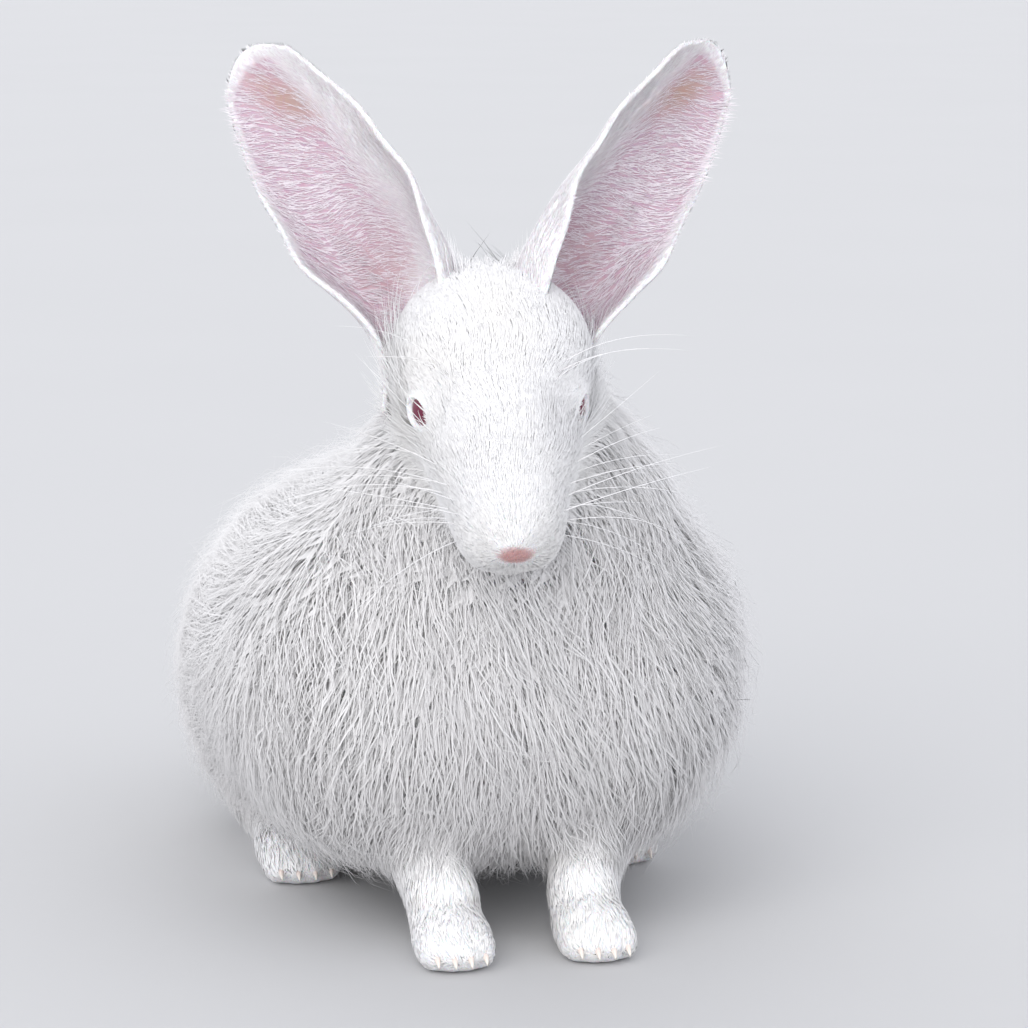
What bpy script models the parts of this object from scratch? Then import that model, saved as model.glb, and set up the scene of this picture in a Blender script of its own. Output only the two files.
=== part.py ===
"""A white angora rabbit at life size, sitting on all four feet with its head up.

The flesh and coat are soft forms, blended from ellipsoid masses that stand for skull, muzzle, chest,
haunches and feet. Each mass states how deep its coat is. The body is surfaced whole and parted into
head, neck and torso by flat cuts with a thin gap; the legs sit in pockets of the coat. The ears
are curled shells and the eyes are balls in their sockets. Lengths are metres, +Z is up, and the rabbit
looks towards -Y. Tapered locks are fused to a core of neck, torso and tail, and lie back and down.
"""

import math
from collections import namedtuple

import bmesh
import bpy
import numpy as np
from mathutils import Matrix, Vector

GAP = 0.0003  # between pieces that touch
WELD = 0.00001  # corners closer than this become one

# Driving dimensions of the head
EYE_HEIGHT = 0.195  # of the point midway between the eyes
HEAD_PITCH = math.radians(42)  # the line from eye to nose runs this far below level
HEAD_YAW = math.radians(8)  # towards the rabbit's left
FACE_FUR = 0.0045
EYE_SPAN = 0.0405  # between the centres of the eyeballs
EYE_RADIUS = 0.0086
EYE_OPENING = (0.0076, 0.0052)  # half length and half height between the lids
LID = 0.0010  # radius of the lid's rim

# Driving dimensions of the body
BODY_YAW = math.radians(12)  # the back runs this far to the rabbit's right of straight back
SHOULDER_BACK = 0.052  # of the shoulders behind the eyes
WOOL = 0.034  # coat depth on the flanks
RUFF = 0.022  # coat depth on the neck
FOOT_FUR = 0.003
TOE = (0.0042, 0.0090, 0.0056)  # half width, length and height
CLEARANCE = 0.009  # of the wool above the floor

# Driving dimensions of the locks, as shares of the coat's depth
CORE = 0.45  # where the solid body under them ends
LOCK_SPACING = 0.96
LOCK_WIDTH = 0.98
LOCK_LENGTH = 2.3
LOCK_THICKNESS = 0.26
LOCK_RISE = (0.24, 0.58, 0.84, 1.0)  # from the root to the tip
LOCK_TAPER = (0.30, 1.00, 0.72, 0.07)
SEED = 10
LEAST_SPACING = 0.0225  # between the roots of locks

# Driving dimensions of the ears, from the middle of the root to the tip
EAR_ROOTS = {"left": (0.0165, 0.027, 0.2266), "right": (-0.0255, 0.027, 0.2239)}
EAR_TIPS = {"left": (0.0757, 0.060, 0.3113), "right": (-0.0882, 0.060, 0.3100)}
EAR_TURN = {"left": math.radians(30), "right": math.radians(6)}  # of the opening, outwards
EAR_THICKNESS = 0.0026
EAR_SEAM = 0.008  # above the middle of the root, where the ear leaves the head
EAR_STATIONS = (-0.16, 0.0, 0.12, 0.25, 0.42, 0.60, 0.75, 0.88, 0.96, 1.0)  # shares of the length
EAR_BENDS = (0.012, 0.016, 0.0190, 0.0225, 0.0262, 0.0288, 0.0290, 0.0262, 0.0225, 0.0190)  # radii
EAR_ARCS = (165, 150, 122, 100, 67, 53, 43, 33, 24, 10)  # half the curl, in degrees

Mass = namedtuple("Mass", "name frame centre radii tilt coat")


def frame_at(origin, yaw=0.0, pitch=0.0):
    """A frame at origin: x to the rabbit's left, y back, z up, pitched nose down and turned left."""
    return Matrix.Translation(origin) @ Matrix.Rotation(yaw, 4, "Z") @ Matrix.Rotation(pitch, 4, "X")


HEAD = frame_at((0, 0, EYE_HEIGHT), HEAD_YAW, HEAD_PITCH)
BODY = frame_at((0, SHOULDER_BACK, 0), BODY_YAW)


def mass(name, frame, centre, radii, coat, tilt=0.0):
    """One ellipsoid of flesh."""
    return [Mass(name, frame, centre, radii, tilt, coat)]


def pair(name, frame, centre, radii, coat, tilt=0.0):
    """The same ellipsoid on the rabbit's left and right."""
    x, y, z = centre
    left = mass(name, frame, (x, y, z), radii, coat, tilt)
    return left + mass(name, frame, (-x, y, z), radii, coat, tilt)


def head_masses():
    return (
        mass("cranium", HEAD, (0, 0.023, 0.0015), (0.0278, 0.027, 0.0190), 0.005)
        + mass("forehead", HEAD, (0, -0.004, 0.0005), (0.0162, 0.030, 0.0165), FACE_FUR)
        + mass("bridge", HEAD, (0, -0.029, -0.0004), (0.0110, 0.026, 0.0088), 0.003)
        + mass("muzzle", HEAD, (0, -0.039, -0.0055), (0.0110, 0.016, 0.0100), 0.003)
        + mass("nose", HEAD, (0, -0.0520, -0.0022), (0.0060, 0.0050, 0.0052), 0.001)
        + pair("whisker_pad", HEAD, (0.0070, -0.0430, -0.0100), (0.0072, 0.0115, 0.0092), 0.003)
        + mass("chin", HEAD, (0, -0.0380, -0.0195), (0.0088, 0.0115, 0.0065), 0.003)
        + mass("jaw", HEAD, (0, -0.015, -0.0180), (0.0130, 0.028, 0.0115), 0.005)
        + pair("snout_side", HEAD, (0.0095, -0.020, -0.0075), (0.0080, 0.021, 0.0120), 0.004)
        + pair("malar", HEAD, (0.0130, -0.008, -0.0060), (0.0085, 0.019, 0.0110), 0.004)
        + pair("cheek", HEAD, (0.0135, 0.018, -0.0115), (0.0125, 0.022, 0.0150), 0.008)
        + pair("brow", HEAD, (0.0100, 0.009, 0.0060), (0.0075, 0.014, 0.0080), 0.004)
    )


def body_masses():
    return (
        mass("nape", BODY, (0.002, -0.004, 0.168), (0.0180, 0.030, 0.032), RUFF * 0.8)
        + mass("neck", BODY, (0.003, 0.006, 0.140), (0.040, 0.040, 0.036), RUFF)
        + mass("breast", BODY, (0.002, 0.002, 0.102), (0.038, 0.033, 0.046), RUFF)
        + pair("shoulder", BODY, (0.032, 0.026, 0.090), (0.034, 0.046, 0.044), WOOL * 0.8)
        + mass("ribcage", BODY, (0, 0.076, 0.084), (0.064, 0.075, 0.044), WOOL)
        + mass("loin", BODY, (0, 0.108, 0.089), (0.044, 0.070, 0.038), WOOL * 0.7)
        + mass("rump", BODY, (0, 0.140, 0.073), (0.058, 0.056, 0.046), WOOL * 0.8)
        + pair("thigh", BODY, (0.045, 0.140, 0.062), (0.028, 0.048, 0.040), WOOL * 0.65)
        + mass("belly", BODY, (0, 0.085, 0.060), (0.054, 0.078, 0.030), WOOL * 0.5)
    )


def tail_masses():
    return mass("tail", BODY, (0, 0.214, 0.066), (0.013, 0.018, 0.024), WOOL * 0.45, tilt=-0.35)


def toes(side, x, y, spread):
    """The middles of one foot's four toes, the middle pair a little further forward."""
    off = [i - 1.5 for i in range(4)]
    return [BODY @ Vector((side * x + o * spread, y + 0.0022 * abs(o), 0.0062)) for o in off]


def foreleg_masses(side):
    return (
        mass("upper_arm", BODY, (side * 0.031, 0.012, 0.078), (0.015, 0.020, 0.026), 0.004)
        + mass("forearm", BODY, (side * 0.028, -0.008, 0.046), (0.0105, 0.0125, 0.036), 0.004, tilt=-0.36)
        + mass("wrist", BODY, (side * 0.025, -0.024, 0.016), (0.0095, 0.0110, 0.0130), FOOT_FUR)
        + mass("paw", BODY, (side * 0.025, -0.036, 0.0085), (0.0105, 0.0160, 0.0085), FOOT_FUR)
    )


def hindleg_masses(side):
    return (
        mass("hock", BODY, (side * 0.058, 0.160, 0.018), (0.0125, 0.0200, 0.0150), FOOT_FUR)
        + mass("sole", BODY, (side * 0.060, 0.118, 0.0100), (0.0120, 0.0480, 0.0095), FOOT_FUR)
        + mass("foot_end", BODY, (side * 0.061, 0.083, 0.0085), (0.0125, 0.0200, 0.0085), FOOT_FUR)
    )


class Form:
    """Groups of masses blended into one smooth surface. A group's blend is how softly its masses merge."""

    def __init__(self, groups, between=0.004):
        self.masses = [m for masses, _ in groups for m in masses]
        self.between = between
        self.blends = []
        self.slices = []
        start = 0
        for masses, blend in groups:
            self.blends.append(blend)
            self.slices.append(slice(start, start + len(masses)))
            start += len(masses)
        self.centres = np.array([m.frame @ Vector(m.centre) for m in self.masses])
        self.turns = [m.frame.to_3x3() @ Matrix.Rotation(m.tilt, 3, "X") for m in self.masses]
        shrink = [np.diag([1 / r for r in m.radii]) for m in self.masses]
        self.to_unit = np.array([s @ np.array(t.transposed()) for s, t in zip(shrink, self.turns)])
        self.coats = np.array([m.coat for m in self.masses])

    def depth(self, points):
        """How deep the coat is at each point."""
        return self.read(points)[0] - self.read(points, 1.0)[0]

    def settled(self, points, share):
        """The points, moved a little to a share of the coat's depth, and the way outward there."""
        for _ in range(3):
            distance, normal = self.read(points, share)
            points = points - distance[:, None] * normal
        return points, normal

    def read(self, points, share=0.0):
        """Each point's distance from the skin, or from a share of the coat's depth, and the way outward."""
        out = [self._read(points[i : i + 20000], share) for i in range(0, len(points), 20000)]
        return [np.concatenate(x) for x in zip(*out)]

    def _read(self, points, share):
        offset = points[:, None, :] - self.centres[None]
        unit = np.einsum("mij,nmj->nmi", self.to_unit, offset)
        size = np.maximum(np.linalg.norm(unit, axis=2), 1e-6)
        slope = np.einsum("mji,nmj->nmi", self.to_unit, unit)
        steep = np.maximum(np.linalg.norm(slope, axis=2), 1e-6)
        distance = (size - 1) * size / steep - share * self.coats[None]
        found = []
        weights = np.zeros_like(distance)
        for blend, part in zip(self.blends, self.slices):
            total, weights[:, part] = softly_least(distance[:, part], blend)
            found.append(total)
        total, between = softly_least(np.array(found).T, self.between)
        for i, part in enumerate(self.slices):
            weights[:, part] *= between[:, i : i + 1]
        normal = np.einsum("nm,nmi->ni", weights / steep, slope)
        normal /= np.maximum(np.linalg.norm(normal, axis=1), 1e-9)[:, None]
        return total, normal


def softly_least(distances, blend):
    """The least of each row, rounded off where two are close, and how much each counts in it."""
    least = distances.min(axis=1)
    weights = np.exp(-(distances - least[:, None]) / blend)
    total = weights.sum(axis=1)
    return least - blend * np.log(total), weights / total[:, None]


TRUNK = Form([(head_masses(), 0.0022), (body_masses(), 0.0060), (tail_masses(), 0.0030)])
SIDES = {"left": 1, "right": -1}
FORELEGS = {name: Form([(foreleg_masses(side), 0.0014)]) for name, side in SIDES.items()}
HINDLEGS = {name: Form([(hindleg_masses(side), 0.0014)]) for name, side in SIDES.items()}
FORETOES = {name: toes(side, 0.025, -0.0490, 0.0056) for name, side in SIDES.items()}
HINDTOES = {name: toes(side, 0.061, 0.0670, 0.0062) for name, side in SIDES.items()}


def clear_scene():
    for obj in list(bpy.data.objects):
        bpy.data.objects.remove(obj)


def collection_named(name):
    found = bpy.data.collections.new(name)
    bpy.context.scene.collection.children.link(found)
    return found


def link(name, mesh, collection):
    obj = bpy.data.objects.new(name, mesh)
    collection.objects.link(obj)
    return obj


def from_bmesh(name, bm, collection):
    mesh = bpy.data.meshes.new(name)
    bm.to_mesh(mesh)
    bm.free()
    return link(name, mesh, collection)


def apply_modifiers(obj):
    """Gives the object its mesh with the modifiers applied."""
    graph = bpy.context.evaluated_depsgraph_get()
    mesh = bpy.data.meshes.new_from_object(obj.evaluated_get(graph))
    obj.modifiers.clear()
    old = obj.data
    obj.data = mesh
    bpy.data.meshes.remove(old)
    return obj


def boolean(obj, other, operation, solver="EXACT"):
    """Applies a Boolean with another object, which is then removed."""
    bpy.context.view_layer.update()
    cut = obj.modifiers.new("cut", "BOOLEAN")
    cut.operation = operation
    cut.solver = solver
    cut.object = other
    apply_modifiers(obj)
    bpy.data.objects.remove(other)
    return obj


def copy_of(obj, name, collection):
    return link(name, obj.data.copy(), collection)


def coordinates(mesh):
    points = np.empty(len(mesh.vertices) * 3)
    mesh.vertices.foreach_get("co", points)
    return points.reshape(-1, 3)


def settle(mesh, form, share, extra):
    """Moves a mesh's points along the form's outward direction to a share of the coat's depth."""
    points = coordinates(mesh)
    for _ in range(6):
        distance, normal = form.read(points, share)
        step = np.clip(distance - extra, -0.0015, 0.0015)
        points -= 0.9 * step[:, None] * normal
    mesh.vertices.foreach_set("co", points.ravel())
    mesh.update()


def lift(mesh):
    """Curves the underside up softly, so that no wool hangs lower than its clearance."""
    points = coordinates(mesh)
    low = points[:, 2] < 2.2 * CLEARANCE
    depth = 1.2 * CLEARANCE
    points[low, 2] = CLEARANCE + depth * np.exp((points[low, 2] - 2.2 * CLEARANCE) / depth)
    mesh.vertices.foreach_set("co", points.ravel())
    mesh.update()


def surfaced(name, form, collection, voxel, share=1.0, extra=0.0):
    """A form as one closed mesh at a share of its coat's depth."""
    bm = bmesh.new()
    for m, turn in zip(form.masses, form.turns):
        size = Matrix.Diagonal([r + m.coat * share + extra for r in m.radii]).to_4x4()
        place = Matrix.Translation(m.frame @ Vector(m.centre)) @ turn.to_4x4() @ size
        bmesh.ops.create_icosphere(bm, subdivisions=4, radius=1.0, matrix=place)
    obj = from_bmesh(name, bm, collection)
    remesh = obj.modifiers.new("skin", "REMESH")
    remesh.mode = "VOXEL"
    remesh.voxel_size = voxel
    even = obj.modifiers.new("even", "SMOOTH")
    even.iterations = 3
    apply_modifiers(obj)
    settle(obj.data, form, share, extra)
    return obj


def thin_out(obj, triangles):
    """Collapses edges until about this many triangles are left."""
    obj.data.calc_loop_triangles()
    fewer = obj.modifiers.new("fewer", "DECIMATE")
    fewer.ratio = min(1.0, triangles / len(obj.data.loop_triangles))
    return apply_modifiers(obj)


def region(planes, collection, grow=0.0):
    """The block in front of every plane, each a point and a normal; grow moves the planes back."""
    bm = bmesh.new()
    bmesh.ops.create_cube(bm, size=1.2)
    for point, normal in planes:
        away = Vector(normal).normalized()
        start = Vector(point) - away * grow
        parts = bm.verts[:] + bm.edges[:] + bm.faces[:]
        cut = bmesh.ops.bisect_plane(bm, geom=parts, plane_co=start, plane_no=away, clear_inner=True)
        rim = [x for x in cut["geom_cut"] if isinstance(x, bmesh.types.BMEdge)]
        bmesh.ops.contextual_create(bm, geom=rim)
    bmesh.ops.recalc_face_normals(bm, faces=bm.faces)
    return from_bmesh("region", bm, collection)


def taken(obj, name, planes, cutters, collection):
    """Parts the piece in front of the planes from obj, with a thin gap between them."""
    piece = copy_of(obj, name, collection)
    boolean(piece, region(planes, cutters), "INTERSECT")
    boolean(obj, region(planes, cutters, GAP), "DIFFERENCE")
    return piece


def drop_thin_walls(bm):
    """Merges corners that nearly coincide and removes pairs of faces that then lie back to back."""
    bmesh.ops.triangulate(bm, faces=bm.faces)
    bmesh.ops.remove_doubles(bm, verts=bm.verts, dist=WELD)
    alike = {}
    for face in bm.faces:
        alike.setdefault(frozenset(face.verts), []).append(face)
    double = [face for faces in alike.values() if len(faces) > 1 for face in faces]
    bmesh.ops.delete(bm, geom=double, context="FACES")


def shells_of(bm):
    """The closed surfaces of a mesh, each a set of faces that meet two by two, the largest last."""
    left = set(bm.faces)
    shells = []
    while left:
        queue = [left.pop()]
        shell = set(queue)
        while queue:
            edges = [edge for edge in queue.pop().edges if len(edge.link_faces) == 2]
            fresh = left.intersection([face for edge in edges for face in edge.link_faces])
            left -= fresh
            shell |= fresh
            queue += fresh
        shells.append(shell)
    return sorted(shells, key=len)


def keep_largest(obj):
    """Removes all but the largest closed surface."""
    bm = bmesh.new()
    bm.from_mesh(obj.data)
    drop_thin_walls(bm)
    for shell in shells_of(bm)[:-1]:
        bmesh.ops.delete(bm, geom=list(shell), context="FACES")
    bm.to_mesh(obj.data)
    bm.free()
    return obj


def station(s, sizes):
    """A size along the ear, rounded off between its stations."""
    around = [min(max(s + step, EAR_STATIONS[0]), 1.0) for step in (-0.06, -0.03, 0, 0.03, 0.06)]
    return sum(np.interp(around, EAR_STATIONS, sizes)) / 5


def ear(side, collection):
    """A curled shell from inside the head to the tip, its cup towards the front and outwards."""
    root = Vector(EAR_ROOTS[side])
    along = Vector(EAR_TIPS[side]) - root
    axis = along.normalized()
    outward = Matrix.Rotation(SIDES[side] * EAR_TURN[side], 3, axis)
    front = outward @ (Vector((0, -1, 0)) - axis * Vector((0, -1, 0)).dot(axis)).normalized()
    across = axis.cross(front)
    bm = bmesh.new()
    bmesh.ops.create_grid(bm, x_segments=8, y_segments=16, size=1.0)
    for vert in bm.verts:
        s = np.interp(vert.co.y, (-1, 1), (EAR_STATIONS[0], 1.0))
        bend = station(s, EAR_BENDS)
        arc = math.radians(station(s, EAR_ARCS))
        turn = arc * vert.co.x
        deep = math.cos(turn) - 0.5 - 0.5 * math.cos(arc)
        vert.co = root + along * s + across * bend * math.sin(turn) - front * bend * deep
    obj = from_bmesh("ear_" + side, bm, collection)
    shell = obj.modifiers.new("thickness", "SOLIDIFY")
    shell.thickness = EAR_THICKNESS
    shell.offset = 0.0
    return apply_modifiers(obj)


def eye_frame(side):
    """At the eyeball's centre, z outwards along its axis and x towards the nose."""
    turn = Matrix.Rotation(SIDES[side] * math.radians(90 - 12), 4, "Y")
    lift = Matrix.Rotation(math.radians(-8) * SIDES[side], 4, "Z")
    centre = Matrix.Translation((SIDES[side] * EYE_SPAN / 2, 0, 0))
    return HEAD @ centre @ Matrix.Rotation(SIDES[side] * math.radians(-14), 4, "Z") @ turn


def eyeball(side, collection, grow=0.0):
    bm = bmesh.new()
    place = eye_frame(side)
    bmesh.ops.create_uvsphere(bm, u_segments=14, v_segments=9, radius=EYE_RADIUS + grow, matrix=place)
    return from_bmesh("eye_" + side, bm, collection)


def ellipsoid(name, frame, centre, radii, turn, collection):
    bm = bmesh.new()
    place = frame @ Matrix.Translation(centre) @ turn.to_4x4() @ Matrix.Diagonal(radii).to_4x4()
    bmesh.ops.create_icosphere(bm, subdivisions=2, radius=1.0, matrix=place)
    return from_bmesh(name, bm, collection)


def rod(name, points, radius, closed, collection):
    """A round rod along a line of points, or a ring if closed."""
    curve = bpy.data.curves.new(name, "CURVE")
    curve.dimensions = "3D"
    curve.bevel_depth = radius
    curve.bevel_resolution = 1
    curve.use_fill_caps = True
    line = curve.splines.new("POLY")
    line.points.add(len(points) - 1)
    for place, point in zip(line.points, points):
        place.co = (*point, 1)
    line.use_cyclic_u = closed
    source = link(name, curve, collection)
    bpy.context.view_layer.update()
    graph = bpy.context.evaluated_depsgraph_get()
    mesh = bpy.data.meshes.new_from_object(source.evaluated_get(graph))
    bpy.data.objects.remove(source)
    bm = bmesh.new()
    bm.from_mesh(mesh)
    bmesh.ops.remove_doubles(bm, verts=bm.verts, dist=0.00001)
    bmesh.ops.recalc_face_normals(bm, faces=bm.faces)
    bm.to_mesh(mesh)
    bm.free()
    return link(name, mesh, collection)


def lid_line(side):
    """The almond outline between the lids, on the eyeball."""
    frame = eye_frame(side)
    long_half, high_half = EYE_OPENING
    found = []
    for i in range(18):
        turn = 2 * math.pi * i / 18
        x = long_half * math.cos(turn)
        y = high_half * math.sin(turn) * (1 - 0.12 * math.cos(2 * turn))
        out = Vector((x, y, math.sqrt(EYE_RADIUS**2 - x * x - y * y))).normalized()
        found.append(frame @ (out * (EYE_RADIUS + LID * 0.6)))
    return found


def carve_eye(head, side, cutters):
    """Opens the coat around an eye, sets the lids' rim in it and cuts the socket for the eyeball."""
    long_half, high_half = EYE_OPENING
    size = (long_half - LID * 0.4, high_half - LID * 0.4, 0.012)
    hollow = ellipsoid("hollow", eye_frame(side), (0, 0, 0.010), size, Matrix.Identity(3), cutters)
    boolean(head, hollow, "DIFFERENCE", "MANIFOLD")
    boolean(head, rod("lid", lid_line(side), LID, True, cutters), "UNION", "MANIFOLD")
    boolean(head, eyeball(side, cutters, GAP), "DIFFERENCE", "MANIFOLD")


def carve_nose(head, cutters):
    """Cuts the slanted nostrils, the groove below them and the line of the mouth."""
    for side in SIDES.values():
        slant = Matrix.Rotation(side * math.radians(35), 3, "Y")
        place = (side * 0.0042, -0.0575, -0.0024)
        nostril = ellipsoid("nostril", HEAD, place, (0.0010, 0.0030, 0.0030), slant, cutters)
        boolean(head, nostril, "DIFFERENCE", "MANIFOLD")
    places = ((0, -0.0590, -0.0040), (0, -0.0592, -0.0095), (0, -0.0560, -0.0170))
    groove = [HEAD @ Vector(p) for p in places]
    boolean(head, rod("groove", groove, 0.0007, False, cutters), "DIFFERENCE", "MANIFOLD")
    mouth = []
    for i in range(-4, 5):
        off = i / 4
        curl = off * off
        mouth.append(HEAD @ Vector((0.0150 * off, -0.0560 + 0.0170 * curl, -0.0170 - 0.0035 * curl)))
    boolean(head, rod("mouth", mouth, 0.0008, False, cutters), "DIFFERENCE", "MANIFOLD")


def plane(frame, point, normal):
    return frame @ Vector(point), frame.to_3x3() @ Vector(normal)


def head_planes():
    """The head lies before the nape's plane and above the throat's."""
    level = Matrix.Identity(4)
    nape = plane(level, (0, -0.006, 0.147), (0, -0.797, 0.604))
    throat = plane(level, (0, -0.006, 0.147), (0, -0.225, 0.974))
    return [nape, throat]


def ear_planes(side):
    root = Vector(EAR_ROOTS[side])
    axis = (Vector(EAR_TIPS[side]) - root).normalized()
    middle = plane(HEAD, (0, 0.03, 0), (SIDES[side], 0, 0))
    return [(root + axis * EAR_SEAM, axis), middle]


def neck_planes():
    return [plane(BODY, (0, 0.030, 0.165), (0, -0.463, 0.887))]


def flat_footed(obj, cutters):
    """Cuts a foot level with the floor."""
    return boolean(obj, region([((0, 0, 0), (0, 0, 1))], cutters), "INTERSECT", "MANIFOLD")


def add_toes(leg, places, cutters):
    """Joins the toes and their claws to a foot."""
    turn = BODY.to_3x3().to_4x4()
    for place in places:
        where = Matrix.Translation(place) @ turn @ Matrix.Diagonal(TOE).to_4x4()
        toe = bmesh.new()
        bmesh.ops.create_uvsphere(toe, u_segments=8, v_segments=6, radius=1.0, matrix=where)
        boolean(leg, from_bmesh("toe", toe, cutters), "UNION", "MANIFOLD")
        tip = place + turn @ Vector((0, -TOE[1] - 0.0005, -0.0010))
        claw = bmesh.new()
        where = Matrix.Translation(tip) @ turn @ Matrix.Rotation(math.radians(65), 4, "X")
        sizes = {"radius1": 0.0013, "radius2": 0.0003, "depth": 0.007}
        bmesh.ops.create_cone(claw, cap_ends=True, segments=6, matrix=where, **sizes)
        boolean(leg, from_bmesh("claw", claw, cutters), "UNION", "MANIFOLD")
    return leg


def legs(kind, forms, paws, torso, rabbit, cutters):
    """Builds a pair of legs and the pockets for them in the torso's coat."""
    for side in SIDES:
        leg = thin_out(surfaced(kind + side, forms[side], rabbit, 0.0016), LEG_TRIANGLES)
        pocket = copy_of(leg, "pocket", cutters)
        wider = pocket.modifiers.new("gap", "DISPLACE")
        wider.strength = GAP
        wider.mid_level = 0.0
        boolean(torso, apply_modifiers(pocket), "DIFFERENCE", "MANIFOLD")
        flat_footed(add_toes(leg, paws[side], cutters), cutters)


def along_the_lie(normals):
    """The way the coat lies: back along the body and down, flat to the surface."""
    back = np.array(BODY.to_3x3() @ Vector((0, 1, 0)))
    wanted = 0.8 * back + 0.6 * np.array((0, 0, -1.0))
    flat = wanted[None] - (normals @ wanted)[:, None] * normals
    return flat / np.maximum(np.linalg.norm(flat, axis=1), 1e-9)[:, None]


def roots(surface):
    """Points spread evenly over the coat, closer together where it is short."""
    points = coordinates(surface.data)
    depth = TRUNK.depth(points)
    _, normal = TRUNK.settled(points, 1.0)
    wanted = (depth > 0.009) & (normal[:, 2] > -0.45) & ~inside(points, head_planes(), 0.015)
    points = points[wanted]
    depth = depth[wanted]
    room = np.maximum(LOCK_SPACING * depth, LEAST_SPACING)
    kept = [0]
    nearest = np.linalg.norm(points - points[0], axis=1)
    while (nearest / room).max() > 1:
        kept.append(int((nearest / room).argmax()))
        nearest = np.minimum(nearest, np.linalg.norm(points - points[kept[-1]], axis=1))
    return points[kept], depth[kept]


def inside(points, planes, by=0.0):
    """Whether each point lies in front of every plane, by at least this much."""
    found = np.ones(len(points), bool)
    for point, way in planes:
        found &= (points - np.array(point)) @ np.array(Vector(way).normalized()) > by
    return found


def unit_lock():
    """A three-sided rod one long, in steps, that every lock is bent and tapered from."""
    bm = bmesh.new()
    bmesh.ops.create_cone(bm, cap_ends=True, segments=3, radius1=1, radius2=1, depth=1)
    lengthwise = [e for e in bm.edges if abs(e.verts[0].co.z - e.verts[1].co.z) > 0.5]
    bmesh.ops.subdivide_edges(bm, edges=lengthwise, cuts=len(LOCK_RISE) - 2, use_grid_fill=True)
    mesh = bpy.data.meshes.new("unit_lock")
    bm.to_mesh(mesh)
    bm.free()
    return mesh


def lock_paths(points, depth, chance):
    """The middle line of each lock, station by station, with the ways across it and away from the body."""
    count = len(points)
    bend = chance.uniform(-0.45, 0.45, count)
    reach = LOCK_LENGTH * depth * chance.uniform(0.85, 1.15, count)
    lift = chance.uniform(-0.05, 0.03, count)
    place, _ = TRUNK.settled(points, LOCK_RISE[0])
    stations = []
    for k, rise in enumerate(LOCK_RISE):
        _, normal = TRUNK.read(place, rise)
        way = along_the_lie(normal)
        across = np.cross(normal, way)
        way = way + bend[:, None] * across * (k / 2)
        stations.append((place + (lift * depth)[:, None] * normal * (k > 0), across, normal))
        if k + 1 < len(LOCK_RISE):
            step = place + way * (reach / (len(LOCK_RISE) - 1))[:, None]
            place = step + ((LOCK_RISE[k + 1] - rise) * depth)[:, None] * normal
            distance, normal = TRUNK.read(place, LOCK_RISE[k + 1])
            place = place - distance[:, None] * normal
    return stations


def locks(points, depth, unit, collection, grow=0.0):
    """One object for each lock, in the collection. Grown ones are this much thicker on every side."""
    chance = np.random.default_rng(SEED)
    corners = coordinates(unit)
    station = np.rint((corners[:, 2] + 0.5) * (len(LOCK_RISE) - 1)).astype(int)
    stations = lock_paths(points, depth, chance)
    middles, acrosses, outwards = (np.array([x[k] for x in stations]) for k in range(3))
    for end, before in ((0, 1), (-1, -2)):
        way = middles[end] - middles[before]
        middles[end] += 3 * grow * way / np.linalg.norm(way, axis=1)[:, None]
    taper = np.array(LOCK_TAPER)[station]
    wide = LOCK_WIDTH / 2 * depth * chance.uniform(0.85, 1.15, len(points))
    thick = LOCK_THICKNESS / 2 * depth
    for i in range(len(points)):
        across = acrosses[station, i] * (corners[:, 0] * (taper * wide[i] + grow))[:, None]
        away = outwards[station, i] * (corners[:, 1] * (np.sqrt(taper) * thick[i] + grow))[:, None]
        mesh = unit.copy()
        mesh.vertices.foreach_set("co", (middles[station, i] + across + away).ravel())
        lift(mesh)
        link("lock", mesh, collection)
    return collection


def fused(obj, collection, operation="UNION", solver="MANIFOLD"):
    """Joins every object of a collection to obj in one Boolean, or cuts them from it, and removes them."""
    if not collection.objects:
        return obj
    bpy.context.view_layer.update()
    join = obj.modifiers.new("locks", "BOOLEAN")
    join.operation = operation
    join.solver = solver
    join.operand_type = "COLLECTION"
    join.collection = collection
    apply_modifiers(obj)
    for other in list(collection.objects):
        bpy.data.objects.remove(other)
    return obj


def painted(obj, slot):
    """Gives the object one Principled material of the slot's colour and roughness."""
    found = bpy.data.materials.get(slot)
    if not found:
        colour, roughness = MATERIALS[slot]
        found = bpy.data.materials.new(slot)
        found.use_nodes = True
        shader = found.node_tree.nodes["Principled BSDF"]
        shader.inputs["Base Color"].default_value = (*colour, 1)
        shader.inputs["Roughness"].default_value = roughness
        found.diffuse_color = (*colour, 1)
    obj.data.materials.clear()
    obj.data.materials.append(found)


def centre_on_floor(collection):
    """Moves every piece so that the middle of the rabbit's box is above the origin."""
    every = np.concatenate([coordinates(obj.data) for obj in collection.objects])
    middle = (every.min(axis=0) + every.max(axis=0)) / 2
    for obj in collection.objects:
        obj.data.transform(Matrix.Translation((-middle[0], -middle[1], 0)))


MATERIALS = {
    "short_coat": ((0.86, 0.85, 0.86), 0.85),
    "wool": ((0.90, 0.89, 0.89), 0.92),
    "ear_skin": ((0.78, 0.62, 0.66), 0.70),
    "eye": ((0.16, 0.02, 0.05), 0.08),
}
SLOTS = {"head": "short_coat", "foreleg": "short_coat", "hindleg": "short_coat"}
SLOTS.update({"neck": "wool", "torso": "wool", "ear": "ear_skin", "eye": "eye"})
LEG_TRIANGLES = 200
FINE_TRIANGLES = 9000
TRUNK_TRIANGLES = 1300


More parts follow.
